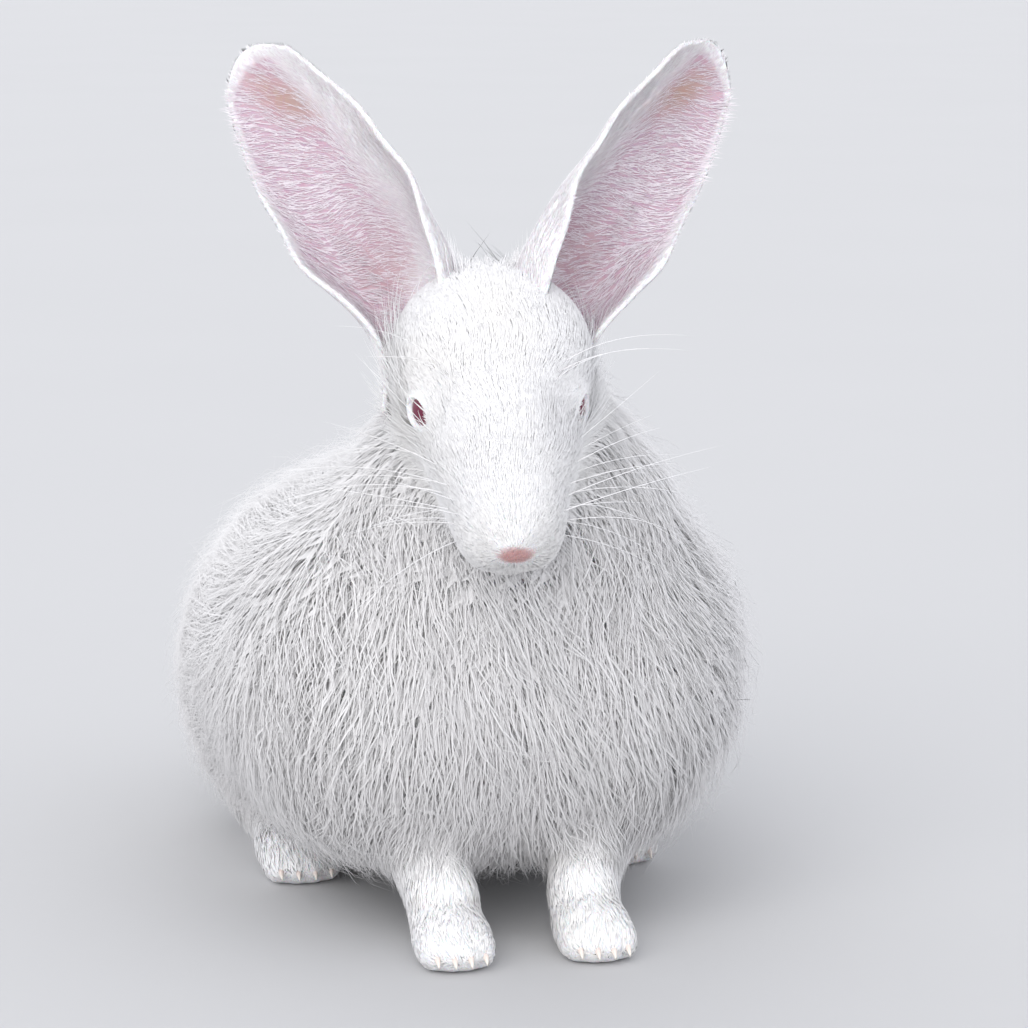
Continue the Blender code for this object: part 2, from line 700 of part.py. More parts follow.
def part_head(rabbit, cutters):
    """The head with its ears and eyes."""
    head = thin_out(surfaced("head", TRUNK, rabbit, 0.0022), FINE_TRIANGLES)
    boolean(head, region(head_planes(), cutters), "INTERSECT", "MANIFOLD")
    for side in SIDES:
        cup = ear(side, rabbit)
        stub = copy_of(cup, "stub", cutters)
        boolean(cup, region(ear_planes(side), cutters), "INTERSECT")
        boolean(stub, region(ear_planes(side), cutters, GAP), "DIFFERENCE")
        boolean(head, stub, "UNION", "MANIFOLD")
        carve_eye(head, side, cutters)
        eyeball(side, rabbit)
    carve_nose(head, cutters)


def part_trunk(rabbit, cutters):
    """Neck and torso with their locks, and the legs in their pockets."""
    coat = surfaced("coat", TRUNK, cutters, 0.0050)
    torso = surfaced("torso", TRUNK, rabbit, 0.0035, share=CORE)
    lift(torso.data)
    thin_out(torso, TRUNK_TRIANGLES)
    boolean(torso, region(head_planes(), cutters, GAP), "DIFFERENCE")
    neck = taken(torso, "neck", neck_planes(), cutters, rabbit)
    points, depth = roots(coat)
    ruff = inside(points, neck_planes())
    unit = unit_lock()
    bunch = collection_named("locks")
    fused(neck, locks(points[ruff], depth[ruff], unit, bunch))
    boolean(neck, region(head_planes(), cutters, GAP), "DIFFERENCE", "MANIFOLD")
    fused(torso, locks(points[~ruff], depth[~ruff], unit, bunch))
    for planes in (neck_planes(), head_planes()):
        boolean(torso, region(planes, cutters, GAP), "DIFFERENCE", "MANIFOLD")
    fused(torso, locks(points[ruff], depth[ruff], unit, bunch, 1.5 * GAP), "DIFFERENCE")
    bpy.data.collections.remove(bunch)
    legs("foreleg_", FORELEGS, FORETOES, torso, rabbit, cutters)
    legs("hindleg_", HINDLEGS, HINDTOES, torso, rabbit, cutters)


def main():
    clear_scene()
    rabbit = collection_named("angora_rabbit")
    cutters = collection_named("cutters")
    part_head(rabbit, cutters)
    part_trunk(rabbit, cutters)
    for obj in list(cutters.objects):
        bpy.data.objects.remove(obj)
    bpy.data.collections.remove(cutters)
    for obj in rabbit.objects:
        keep_largest(obj)
        kind = obj.name.split("_")[0]
        painted(obj, SLOTS[kind])
    centre_on_floor(rabbit)


main()
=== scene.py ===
"""A white angora rabbit at life size, sitting on all four feet with its head up.

One skin covers head, body and legs. Ears, eyes, lids, claws and whiskers are pieces of their own, and the
coat is made of fine tapered strands that follow its lie: short on face, ears and feet, long and woolly on
neck, back and haunches. Lengths are metres, +Z is up, and the rabbit looks towards -Y.
"""

import math

import bmesh
import bpy
import numpy as np
from bpy.props import FloatProperty, FloatVectorProperty, PointerProperty
from mathutils import Matrix, Vector
from mathutils.kdtree import KDTree


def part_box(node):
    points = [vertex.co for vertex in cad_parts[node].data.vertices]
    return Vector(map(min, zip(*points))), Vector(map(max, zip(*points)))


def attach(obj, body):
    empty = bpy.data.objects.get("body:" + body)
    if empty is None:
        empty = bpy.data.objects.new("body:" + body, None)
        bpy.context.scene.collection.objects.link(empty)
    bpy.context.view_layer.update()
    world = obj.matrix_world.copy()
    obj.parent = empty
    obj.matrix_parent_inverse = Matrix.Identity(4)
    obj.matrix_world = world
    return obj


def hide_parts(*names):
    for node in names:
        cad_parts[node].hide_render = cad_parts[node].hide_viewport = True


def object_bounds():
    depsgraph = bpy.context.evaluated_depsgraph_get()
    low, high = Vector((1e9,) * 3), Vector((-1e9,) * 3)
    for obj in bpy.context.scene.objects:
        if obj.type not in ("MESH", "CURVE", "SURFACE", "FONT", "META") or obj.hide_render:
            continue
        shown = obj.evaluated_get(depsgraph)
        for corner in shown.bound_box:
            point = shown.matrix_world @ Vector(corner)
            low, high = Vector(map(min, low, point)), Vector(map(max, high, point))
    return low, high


bl_info = {
    "name": "Angora rabbit",
    "version": (1, 0, 0),
    "blender": (4, 5, 0),
    "location": "3D View > Sidebar > Rabbit",
    "description": "Builds a white angora rabbit over its packed solids",
    "category": "Object",
}

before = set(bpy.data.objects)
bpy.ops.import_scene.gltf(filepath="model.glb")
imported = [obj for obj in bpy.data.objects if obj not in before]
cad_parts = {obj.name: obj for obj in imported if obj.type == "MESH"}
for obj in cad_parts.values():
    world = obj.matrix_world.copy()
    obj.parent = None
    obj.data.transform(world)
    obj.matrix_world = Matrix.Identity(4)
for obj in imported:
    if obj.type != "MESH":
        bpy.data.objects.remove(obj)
CAD_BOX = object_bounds()


def middle_of(node):
    low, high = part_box(node)
    return (Vector(low) + Vector(high)) / 2


EYE_HEIGHT = 0.195
SHIFT = (middle_of("eye_left") + middle_of("eye_right")) / 2 - Vector((0, 0, EYE_HEIGHT))
HEAD_PITCH = math.radians(42)
HEAD_YAW = math.radians(8)
BODY_YAW = math.radians(12)
SHOULDER_BACK = 0.052
EYE_SPAN = 0.0405
EYE_RADIUS = 0.0086
EYE_OPENING = (0.0050, 0.0060)
EYE_LIFT = 10  # degrees that the eyes' axes point upwards in the head
EYE_AHEAD = 27  # degrees that they point forwards
EYE_BULGE = 0.0005
LID = 0.0009
LID_STEPS = 64
LID_THICKNESS = 0.0004
FACE_FUR = 0.0045
WOOL = 0.034
RUFF = 0.022
FOOT_FUR = 0.003
CLEARANCE = 0.009
COAT_PAST_BOX = 0.009  # how far single hairs may reach past the solids' box
LOWEST = 0.0004  # height over the floor that nothing goes below
SHORT_COAT = 0.0081  # masses with a thinner coat than this have short fur
SKIN_SHARE = 0.70  # of the wool's depth, where the skin lies
SHORT_SHARE = 0.80  # of the short fur's depth, where the skin of head and legs lies
SIDES = {"left": 1, "right": -1}


# The rabbit's form


def frame_at(origin, yaw=0.0, pitch=0.0):
    """A frame at origin: x to the rabbit's left, y back, z up, pitched nose down and turned left."""
    return Matrix.Translation(origin) @ Matrix.Rotation(yaw, 4, "Z") @ Matrix.Rotation(pitch, 4, "X")


HEAD = frame_at(SHIFT + Vector((0, 0, EYE_HEIGHT)), HEAD_YAW, HEAD_PITCH)
BODY = frame_at(SHIFT + Vector((0, SHOULDER_BACK, 0)), BODY_YAW)


def mass(frame, centre, radii, coat, tilt=0.0):
    """One ellipsoid of flesh with the depth of its coat."""
    return [(frame, centre, radii, coat, tilt)]


def pair(frame, centre, radii, coat, tilt=0.0):
    """The same ellipsoid on the rabbit's left and right."""
    x, y, z = centre
    return mass(frame, (x, y, z), radii, coat, tilt) + mass(frame, (-x, y, z), radii, coat, tilt)


def head_masses():
    cranium = mass(HEAD, (0, 0.023, 0.0015), (0.0278, 0.027, 0.0190), 0.005)
    forehead = mass(HEAD, (0, -0.004, 0.0005), (0.0162, 0.030, 0.0165), FACE_FUR)
    bridge = mass(HEAD, (0, -0.029, -0.0004), (0.0110, 0.026, 0.0088), 0.003)
    muzzle = mass(HEAD, (0, -0.039, -0.0055), (0.0110, 0.016, 0.0100), 0.003)
    nose = mass(HEAD, (0, -0.0520, -0.0022), (0.0060, 0.0050, 0.0052), 0.001)
    pads = pair(HEAD, (0.0070, -0.0430, -0.0100), (0.0072, 0.0115, 0.0092), 0.003)
    chin = mass(HEAD, (0, -0.0380, -0.0195), (0.0088, 0.0115, 0.0065), 0.003)
    jaw = mass(HEAD, (0, -0.015, -0.0180), (0.0130, 0.028, 0.0115), 0.005)
    snout = pair(HEAD, (0.0095, -0.020, -0.0075), (0.0080, 0.021, 0.0120), 0.004)
    malar = pair(HEAD, (0.0130, -0.008, -0.0060), (0.0085, 0.019, 0.0110), 0.004)
    cheeks = pair(HEAD, (0.0135, 0.018, -0.0115), (0.0125, 0.022, 0.0150), 0.008)
    brows = pair(HEAD, (0.0100, 0.009, 0.0060), (0.0075, 0.014, 0.0080), 0.004)
    face = forehead + bridge + muzzle + nose + pads + chin + snout + malar
    orbits = pair(HEAD, (EYE_SPAN / 2, 0, 0), [EYE_RADIUS + 0.0002] * 3, 0.0012)
    return cranium + face + jaw + cheeks + brows + orbits


def body_masses():
    nape = mass(BODY, (0.002, -0.004, 0.168), (0.0180, 0.030, 0.032), RUFF * 0.8)
    neck = mass(BODY, (0.003, 0.006, 0.140), (0.040, 0.040, 0.036), RUFF)
    breast = mass(BODY, (0.002, 0.002, 0.102), (0.038, 0.033, 0.046), RUFF)
    shoulders = pair(BODY, (0.032, 0.026, 0.090), (0.034, 0.046, 0.044), WOOL * 0.8)
    ribcage = mass(BODY, (0, 0.076, 0.084), (0.064, 0.075, 0.044), WOOL)
    loin = mass(BODY, (0, 0.108, 0.089), (0.044, 0.070, 0.038), WOOL * 0.7)
    rump = mass(BODY, (0, 0.140, 0.073), (0.058, 0.056, 0.046), WOOL * 0.8)
    thighs = pair(BODY, (0.045, 0.140, 0.062), (0.028, 0.048, 0.040), WOOL * 0.65)
    belly = mass(BODY, (0, 0.085, 0.060), (0.054, 0.078, 0.030), WOOL * 0.5)
    return nape + neck + breast + shoulders + ribcage + loin + rump + thighs + belly


def tail_masses():
    return mass(BODY, (0, 0.214, 0.066), (0.013, 0.018, 0.024), WOOL * 0.45, tilt=-0.35)


def toes(side, x, y, spread):
    """The middles of one foot's four toes, the middle pair a little further forward."""
    off = [i - 1.5 for i in range(4)]
    return [(side * x + o * spread, y + 0.0022 * abs(o), 0.0062) for o in off]


FORETOES = {name: toes(side, 0.025, -0.0490, 0.0056) for name, side in SIDES.items()}
HINDTOES = {name: toes(side, 0.061, 0.0670, 0.0062) for name, side in SIDES.items()}
TOE = (0.0034, 0.0090, 0.0048)


def toe_masses(places):
    return [m for place in places for m in mass(BODY, place, TOE, 0.0016)]


def foreleg_masses(name):
    side = SIDES[name]
    upper = mass(BODY, (side * 0.031, 0.012, 0.078), (0.015, 0.020, 0.026), 0.004)
    fore = mass(BODY, (side * 0.028, -0.008, 0.046), (0.0105, 0.0125, 0.036), 0.004, tilt=-0.36)
    wrist = mass(BODY, (side * 0.025, -0.024, 0.016), (0.0095, 0.0110, 0.0130), FOOT_FUR)
    paw = mass(BODY, (side * 0.025, -0.036, 0.0085), (0.0105, 0.0160, 0.0085), FOOT_FUR)
    return upper + fore + wrist + paw + toe_masses(FORETOES[name])


def hindleg_masses(name):
    side = SIDES[name]
    hock = mass(BODY, (side * 0.058, 0.160, 0.018), (0.0125, 0.0200, 0.0150), FOOT_FUR)
    sole = mass(BODY, (side * 0.060, 0.118, 0.0100), (0.0120, 0.0480, 0.0095), FOOT_FUR)
    foot_end = mass(BODY, (side * 0.061, 0.083, 0.0085), (0.0125, 0.0200, 0.0085), FOOT_FUR)
    return hock + sole + foot_end + toe_masses(HINDTOES[name])


def softly_least(distances, blend):
    """The least of each row, rounded off where two are close, and how much each counts in it."""
    least = distances.min(axis=1)
    weights = np.exp(-(distances - least[:, None]) / blend)
    total = weights.sum(axis=1)
    return least - blend * np.log(total), weights / total[:, None]


BATCH = 16000  # points read at a time


class Form:
    """Groups of masses blended into one smooth surface."""

    def __init__(self, groups, between=0.004):
        self.masses = [m for masses, _ in groups for m in masses]
        self.between = between
        self.blends = [blend for _, blend in groups]
        ends = np.cumsum([0] + [len(masses) for masses, _ in groups])
        self.slices = [slice(a, b) for a, b in zip(ends[:-1], ends[1:])]
        self.centres = np.array([m[0] @ Vector(m[1]) for m in self.masses])
        self.turns = [m[0].to_3x3() @ Matrix.Rotation(m[4], 3, "X") for m in self.masses]
        shrink = [np.diag([1 / r for r in m[2]]) for m in self.masses]
        self.to_unit = np.array([s @ np.array(t.transposed()) for s, t in zip(shrink, self.turns)])
        self.coats = np.array([m[3] for m in self.masses])

    def read(self, points, share=0.0):
        """Distance from a share of the coat's depth, the way outward, and each group's weight."""
        share = np.broadcast_to(share, len(points))
        steps = range(0, len(points), BATCH)
        out = [self._read(points[i : i + BATCH], share[i : i + BATCH]) for i in steps]
        return [np.concatenate(x) for x in zip(*out)]

    def _read(self, points, share):
        offset = points[:, None, :] - self.centres[None]
        unit = np.einsum("mij,nmj->nmi", self.to_unit, offset)
        size = np.maximum(np.linalg.norm(unit, axis=2), 1e-6)
        slope = np.einsum("mji,nmj->nmi", self.to_unit, unit)
        steep = np.maximum(np.linalg.norm(slope, axis=2), 1e-6)
        distance = (size - 1) * size / steep - share[:, None] * self.coats[None]
        found = []
        weights = np.zeros_like(distance)
        for blend, part in zip(self.blends, self.slices):
            total, weights[:, part] = softly_least(distance[:, part], blend)
            found.append(total)
        total, between = softly_least(np.array(found).T, self.between)
        for i, part in enumerate(self.slices):
            weights[:, part] *= between[:, i : i + 1]
        normal = np.einsum("nm,nmi->ni", weights / steep, slope)
        normal /= np.maximum(np.linalg.norm(normal, axis=1), 1e-9)[:, None]
        return total, normal, between

    def depth(self, points):
        """How deep the coat is at each point."""
        return self.read(points)[0] - self.read(points, 1.0)[0]


def whole_form():
    legs = [(foreleg_masses(name), 0.0014) for name in SIDES]
    legs += [(hindleg_masses(name), 0.0014) for name in SIDES]
    trunk = [(head_masses(), 0.0022), (body_masses(), 0.0060), (tail_masses(), 0.0030)]
    return Form(trunk + legs)


RABBIT = whole_form()
HEAD_GROUP, BODY_GROUP, TAIL_GROUP, LEG_GROUPS = 0, 1, 2, slice(3, 7)


# Small helpers


def numbers(vectors):
    return np.array([tuple(v) for v in vectors], float)


def to_local(frame, points):
    """Points in a frame's own axes."""
    inverse = np.array(frame.inverted())
    return points @ inverse[:3, :3].T + inverse[:3, 3]


def to_world(frame, points):
    matrix = np.array(frame)
    return points @ matrix[:3, :3].T + matrix[:3, 3]


def unit(vectors):
    return vectors / np.maximum(np.linalg.norm(vectors, axis=-1), 1e-9)[..., None]


def smooth_step(low, high, values):
    """0 below low, 1 above high, and eased between."""
    t = np.clip((values - low) / (high - low), 0, 1)
    return t * t * (3 - 2 * t)


def coordinates(mesh):
    points = np.empty(len(mesh.vertices) * 3)
    mesh.vertices.foreach_get("co", points)
    return points.reshape(-1, 3)


def set_coordinates(mesh, points):
    mesh.vertices.foreach_set("co", points.ravel())
    mesh.update()


def vertex_normals(mesh):
    found = np.empty(len(mesh.vertices) * 3)
    mesh.vertices.foreach_get("normal", found)
    return found.reshape(-1, 3)


def set_values(mesh, name, values):
    """Keeps one number per vertex on the mesh, for its material."""
    layer = mesh.attributes.new(name, "FLOAT", "POINT")
    layer.data.foreach_set("value", np.asarray(values, np.float32))


def mesh_of(bm, name):
    mesh = bpy.data.meshes.new(name)
    bm.to_mesh(mesh)
    bm.free()
    return mesh


def link(name, mesh):
    obj = bpy.data.objects.new(name, mesh)
    bpy.context.scene.collection.objects.link(obj)
    return obj


def finished(obj, material, slot, *nodes):
    """Gives a piece its material, its place on the model and the solids that it stands for."""
    obj.data.materials.clear()
    obj.data.materials.append(material)
    obj.data.polygons.foreach_set("use_smooth", np.ones(len(obj.data.polygons), bool))
    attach(obj, "root")
    if nodes:
        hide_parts(*nodes)
    return obj


def thicken(obj, thickness, offset):
    shell = obj.modifiers.new("thickness", "SOLIDIFY")
    shell.thickness = thickness
    shell.offset = offset


def with_modifiers_applied(obj):
    graph = bpy.context.evaluated_depsgraph_get()
    mesh = bpy.data.meshes.new_from_object(obj.evaluated_get(graph))
    obj.modifiers.clear()
    old = obj.data
    obj.data = mesh
    bpy.data.meshes.remove(old)
    return obj


def clear_of_floor(points, share):
    """Curves the wool's underside up softly above its clearance, by this share for each point."""
    reach = 1.2 * CLEARANCE
    top = 2.2 * CLEARANCE
    raised = CLEARANCE + reach * np.exp((np.minimum(points[..., 2], top) - top) / reach)
    low = points[..., 2] < top
    lifted = points.copy()
    lifted[..., 2] = np.where(low, points[..., 2] + share * (raised - points[..., 2]), points[..., 2])
    lifted[..., 2] = np.maximum(lifted[..., 2], LOWEST)
    return lifted


def within_reach(points):
    """Keeps strands and whiskers close to the solids' box."""
    low = np.array(CAD_BOX[0]) - COAT_PAST_BOX
    high = np.array(CAD_BOX[1]) + COAT_PAST_BOX
    low[2] = LOWEST
    return np.clip(points, low, high)


# Skin, with the eyes' openings, the nose and the mouth


def eye_frame(side):
    """At the eyeball's centre, z outwards along its axis and y backwards."""
    turn = Matrix.Rotation(SIDES[side] * math.radians(90 - EYE_LIFT), 4, "Y")
    centre = Matrix.Translation((SIDES[side] * EYE_SPAN / 2, 0, 0))
    return HEAD @ centre @ Matrix.Rotation(-SIDES[side] * math.radians(EYE_AHEAD), 4, "Z") @ turn


def eye_reach(points, side):
    """How far each point is from the eye's middle, with 1 at the lids' edge."""
    local = to_local(eye_frame(side), points)
    reach = np.hypot(local[:, 0] / EYE_OPENING[0], local[:, 1] / EYE_OPENING[1])
    return np.where(local[:, 2] > 0, reach, 9.0)


def shaped_round_eye(points, side):
    """Lets the skin close over the eyeball round its opening and run under it inside."""
    frame = eye_frame(side)
    local = to_local(frame, points)
    away = np.linalg.norm(local, axis=1)
    reach = eye_reach(points, side)
    over = np.maximum(away, EYE_RADIUS + LID * (1 - 0.4 * smooth_step(1.2, 2.2, reach)))
    share = smooth_step(0.95, 1.03, reach)
    wanted = share * over + (1 - share) * (EYE_RADIUS - 0.0012)
    return to_world(frame, unit(local) * wanted[:, None])


def line_distance(points, line):
    """Each point's distance from a broken line."""
    best = np.full(len(points), 9.0)
    for a, b in zip(line[:-1], line[1:]):
        a = np.array(a)
        along = np.array(b) - a
        t = np.clip((points - a) @ along / (along @ along), 0, 1)
        best = np.minimum(best, np.linalg.norm(points - a - t[:, None] * along, axis=1))
    return best


def nostril_line(side):
    return [
        (side * 0.0018, -0.0573, -0.0045),
        (side * 0.0030, -0.0570, -0.0034),
        (side * 0.0044, -0.0560, -0.0014),
        (side * 0.0052, -0.0545, 0.0006),
    ]


CLEFT = [(0, -0.0580, -0.0040), (0, -0.0580, -0.0090), (0, -0.0560, -0.0165)]


def mouth_line():
    """The line between the lips, from one corner past the cleft to the other."""
    found = []
    for i in range(-6, 7):
        off = i / 6
        found.append((0.0150 * off, -0.0560 + 0.0170 * off * off, -0.0170 - 0.0035 * off * off))
    return found


def carved_face(points, normals):
    """Presses nostrils, cleft and mouth into the skin."""
    local = to_local(HEAD, points)
    depth = np.zeros(len(points))
    for side in SIDES.values():
        away = line_distance(local, nostril_line(side))
        depth += 0.0032 * np.exp(-((away / 0.0009) ** 2))
        depth -= 0.0006 * np.exp(-(((away - 0.0020) / 0.0010) ** 2))
    depth += 0.0013 * np.exp(-((line_distance(local, CLEFT) / 0.0008) ** 2))
    depth += 0.0022 * np.exp(-((line_distance(local, mouth_line()) / 0.0011) ** 2))
    return points - depth[:, None] * normals


def nose_share(points):
    """1 on the bare tip of the nose, 0 away from it."""
    local = to_local(HEAD, points)
    away = np.sqrt((local[:, 0] / 0.0058) ** 2 + ((local[:, 2] + 0.0040) / 0.0042) ** 2)
    return (1 - smooth_step(0.60, 1.50, away)) * (local[:, 1] < -0.045)


VOXEL = 0.0026


def merged_masses():
    """The masses at the skin's share of their coats, joined into one closed mesh."""
    bm = bmesh.new()
    for m, turn in zip(RABBIT.masses, RABBIT.turns):
        share = SHORT_SHARE if m[3] < SHORT_COAT else SKIN_SHARE
        size = Matrix.Diagonal([r + m[3] * share for r in m[2]]).to_4x4()
        place = Matrix.Translation(m[0] @ Vector(m[1])) @ turn.to_4x4() @ size
        bmesh.ops.create_icosphere(bm, subdivisions=4, radius=1.0, matrix=place)
    obj = link("skin", mesh_of(bm, "skin"))
    remesh = obj.modifiers.new("skin", "REMESH")
    remesh.mode = "VOXEL"
    remesh.voxel_size = VOXEL
    even = obj.modifiers.new("even", "SMOOTH")
    even.iterations = 4
    return with_modifiers_applied(obj)


def refine(mesh, chosen):
    """Splits the faces whose corners are all chosen into four."""
    bm = bmesh.new()
    bm.from_mesh(mesh)
    bm.verts.ensure_lookup_table()
    edges = [e for e in bm.edges if chosen[e.verts[0].index] and chosen[e.verts[1].index]]
    bmesh.ops.subdivide_edges(bm, edges=edges, cuts=1, use_grid_fill=True)
    bm.to_mesh(mesh)
    bm.free()


def settle(points, rounds=6):
    """Moves points outward or inward to the skin: near the tips of short fur, deep in the wool."""
    share = 0.6
    for _ in range(rounds):
        distance, normal, weights = RABBIT.read(points, share)
        short = weights[:, HEAD_GROUP] + weights[:, LEG_GROUPS].sum(axis=1)
        points = points - 0.9 * np.clip(distance, -0.0015, 0.0015)[:, None] * normal
        share = SKIN_SHARE + (SHORT_SHARE - SKIN_SHARE) * short
    return points


def build_skin():
    """The rabbit's skin as one mesh, fine on the face and finest round nose and eyes."""
    obj = merged_masses()
    mesh = obj.data
    local = to_local(HEAD, coordinates(mesh))
    refine(mesh, (local[:, 1] < 0.020) & (np.abs(local[:, 0]) < 0.040) & (local[:, 2] > -0.035))
    local = to_local(HEAD, coordinates(mesh))
    eyes = np.minimum(eye_reach(coordinates(mesh), "left"), eye_reach(coordinates(mesh), "right")) < 2.2
    refine(mesh, (local[:, 1] < -0.042) | eyes & (local[:, 1] < 0.020))
    eyes = np.minimum(eye_reach(coordinates(mesh), "left"), eye_reach(coordinates(mesh), "right"))
    refine(mesh, (eyes > 0.6) & (eyes < 1.6))
    points = settle(coordinates(mesh), 7)
    _, normals, weights = RABBIT.read(points, 0.6)
    points = clear_of_floor(points, weights[:, BODY_GROUP] + weights[:, TAIL_GROUP])
    points = carved_face(points, normals)
    for side in SIDES:
        points = shaped_round_eye(points, side)
    set_coordinates(mesh, points)
    set_values(mesh, "nose", nose_share(points))
    return obj


# Ears

EAR_ROOTS = {"left": (0.0165, 0.027, 0.2266), "right": (-0.0255, 0.027, 0.2239)}
EAR_TIPS = {"left": (0.0757, 0.060, 0.3113), "right": (-0.0882, 0.060, 0.3100)}
EAR_TURN = {"left": math.radians(30), "right": math.radians(6)}
EAR_THICKNESS = 0.0019
EAR_STATIONS = (-0.20, 0.0, 0.12, 0.25, 0.42, 0.60, 0.75, 0.88, 0.96, 1.0)
EAR_BENDS = (0.0150, 0.0165, 0.0190, 0.0225, 0.0262, 0.0288, 0.0290, 0.0262, 0.0235, 0.0220)
EAR_ARCS = (118, 128, 118, 98, 67, 53, 43, 35, 31, 28)
EAR_TIP_ROUND = 0.085  # share of the length over which the tip rounds off
EAR_ROOT_DRIFT = 0.150  # how fast the root swings out to the side of the head


def station(s, sizes):
    """A size along the ear, rounded off between its stations."""
    steps = (-0.06, -0.03, 0, 0.03, 0.06)
    around = [np.clip(s + step, EAR_STATIONS[0], 1.0) for step in steps]
    return sum(np.interp(a, EAR_STATIONS, sizes) for a in around) / len(steps)


def ear_axes(side):
    """The ear's root, its line to the tip, and the ways across it and out of its cup."""
    root = np.array(EAR_ROOTS[side]) + np.array(SHIFT)
    along = np.array(EAR_TIPS[side]) + np.array(SHIFT) - root
    axis = Vector(along).normalized()
    outward = Matrix.Rotation(SIDES[side] * EAR_TURN[side], 3, axis)
    front = outward @ (Vector((0, -1, 0)) - axis * Vector((0, -1, 0)).dot(axis)).normalized()
    return root, along, np.array(axis.cross(front)), np.array(front)


def ear_drift(side, s):
    """How far the ear's root runs out to the side of the head below its narrowest part."""
    return SIDES[side] * EAR_ROOT_DRIFT * np.maximum(0.12 - s, 0) ** 2


def ear_top(turn):
    """Where the rounded tip ends, as a share of the length, at a share of the curl."""
    return 1 - EAR_TIP_ROUND * np.abs(turn) ** 2.3


def ear_lift(side, s, turn):
    """How far the fold low in the cup and the waves of the rim lift the ear's surface."""
    fold = 0.0026 * np.exp(-(((turn * SIDES[side] - 0.30) / 0.09) ** 2)) * (1 - smooth_step(0.2, 0.5, s))
    return fold + 0.0005 * np.sin(23 * s + 3 * turn) * np.abs(turn) ** 2


def ear_points(side, s, turn):
    """Points on the ear's middle surface at a share of its length and of its curl."""
    root, along, across, front = ear_axes(side)
    bend = station(s, EAR_BENDS)
    arc = np.radians(station(s, EAR_ARCS))
    angle = arc * turn
    deep = bend * (np.cos(angle) - 0.5 - 0.5 * np.cos(arc))
    out = np.sin(angle) * bend + ear_drift(side, s)
    place = root + along * s[:, None] + across * out[:, None] - front * deep[:, None]
    inward = -across * np.sin(angle)[:, None] + front * np.cos(angle)[:, None]
    return place + inward * ear_lift(side, s, turn)[:, None]


def ear_shares(side, points):
    """Where points on an ear lie: the share of its length, of its curl, and 1 on the inner side."""
    root, along, across, front = ear_axes(side)
    offset = points - root
    s = offset @ along / (along @ along)
    bend = station(s, EAR_BENDS)
    arc = np.radians(station(s, EAR_ARCS))
    out = offset @ across - ear_drift(side, s)
    centre = bend * (0.5 + 0.5 * np.cos(arc))
    angle = np.arctan2(out, centre - offset @ front)
    radius = np.hypot(out, centre - offset @ front)
    return s, angle / arc, (radius < bend - ear_lift(side, s, angle / arc)).astype(float)


def ear_white(side, s, turn):
    """1 on the white rim, tip and medial band of an ear's cup, 0 on its bare pink middle."""
    medial = -turn * SIDES[side]
    rim = smooth_step(0.84, 0.94, np.abs(turn)) + smooth_step(0.935, 0.965, s / ear_top(turn))
    band = smooth_step(0.10, 0.62, medial + 0.30 * (0.45 - s) + 0.4 * (1 - smooth_step(0.0, 0.25, s)))
    return np.clip(rim + band, 0, 1)


def ear_hollow_shade(side, s, turn):
    """1 where painted shade darkens the hollow under an ear's tip to a warm brown, and faintly low in its
    cup.
    """
    medial = -turn * SIDES[side]
    slant = s - 0.80 + 0.16 * (medial - 0.1)
    under_tip = np.exp(-(((medial - 0.05) / 0.50) ** 2) - (slant / 0.10) ** 2)
    low = 0.4 * np.exp(-(((medial + 0.1) / 0.5) ** 2) - ((s - 0.18) / 0.16) ** 2)
    return np.clip(under_tip + low, 0, 1)


def build_ear(side):
    """A curled shell from inside the head to the tip."""
    bm = bmesh.new()
    bmesh.ops.create_grid(bm, x_segments=30, y_segments=70, size=1.0)
    verts = numbers([v.co for v in bm.verts])
    s = EAR_STATIONS[0] + (ear_top(verts[:, 0]) - EAR_STATIONS[0]) * (verts[:, 1] + 1) / 2
    places = ear_points(side, s, verts[:, 0])
    for vert, place in zip(bm.verts, places):
        vert.co = place
    obj = link("ear_shell_" + side, mesh_of(bm, "ear_shell_" + side))
    thicken(obj, EAR_THICKNESS, 0.0)
    rounded = obj.modifiers.new("rounded", "SUBSURF")
    rounded.levels = 1
    rounded.render_levels = 1
    with_modifiers_applied(obj)
    s, turn, inner = ear_shares(side, coordinates(obj.data))
    # where painted shade darkens the hollow of the ear's skin
    set_values(obj.data, "hollow", ear_hollow_shade(side, s, turn))
    set_values(obj.data, "inner", inner * (1 - ear_white(side, s, turn)))
    return obj


# Strands


def ring_corners(sides):
    turns = [math.pi / 2 + 2 * math.pi * i / sides for i in range(sides)]
    return [(math.cos(t), math.sin(t)) for t in turns]


def strand_faces(steps, sides):
    """One strand's triangles: its walls, its pointed end and its closed root."""
    faces = []
    rings = steps - 1
    for r in range(rings):
        for c in range(sides):
            a = sides * r + c
            b = sides * r + (c + 1) % sides
            if r < rings - 1:
                faces += [(a, b, b + sides), (a, b + sides, a + sides)]
            else:
                faces.append((a, b, sides * rings))
    for c in range(1, sides - 1):
        faces.append((0, c + 1, c))
    return np.array(faces)


def strand_corners(paths, across, outs, widths, flat, sides):
    """Every strand's corners, ring by ring, with its tip last."""
    count, steps, _ = paths.shape
    verts = np.empty((count, sides * (steps - 1) + 1, 3))
    for c, (a, b) in enumerate(ring_corners(sides)):
        side_step = across[:, :-1] * (a * widths[:, :-1])[..., None]
        out_step = outs[:, :-1] * (b * flat * widths[:, :-1])[..., None]
        verts[:, c:-1:sides] = paths[:, :-1] + side_step + out_step
    verts[:, -1] = paths[:, -1]
    return verts


PATCH = 0.003  # a strand's patch, as a share of the map


def patch_corners(steps, sides):
    """Where a strand's corners lie in its own small patch of the map."""
    found = np.zeros((sides * (steps - 1) + 1, 2))
    for r in range(steps - 1):
        for c in range(sides):
            found[sides * r + c] = (c / (sides - 1) - 0.5, r / (steps - 1) - 0.2 * (c % 2))
    found[-1] = (0.1, 1.0)
    return found * PATCH


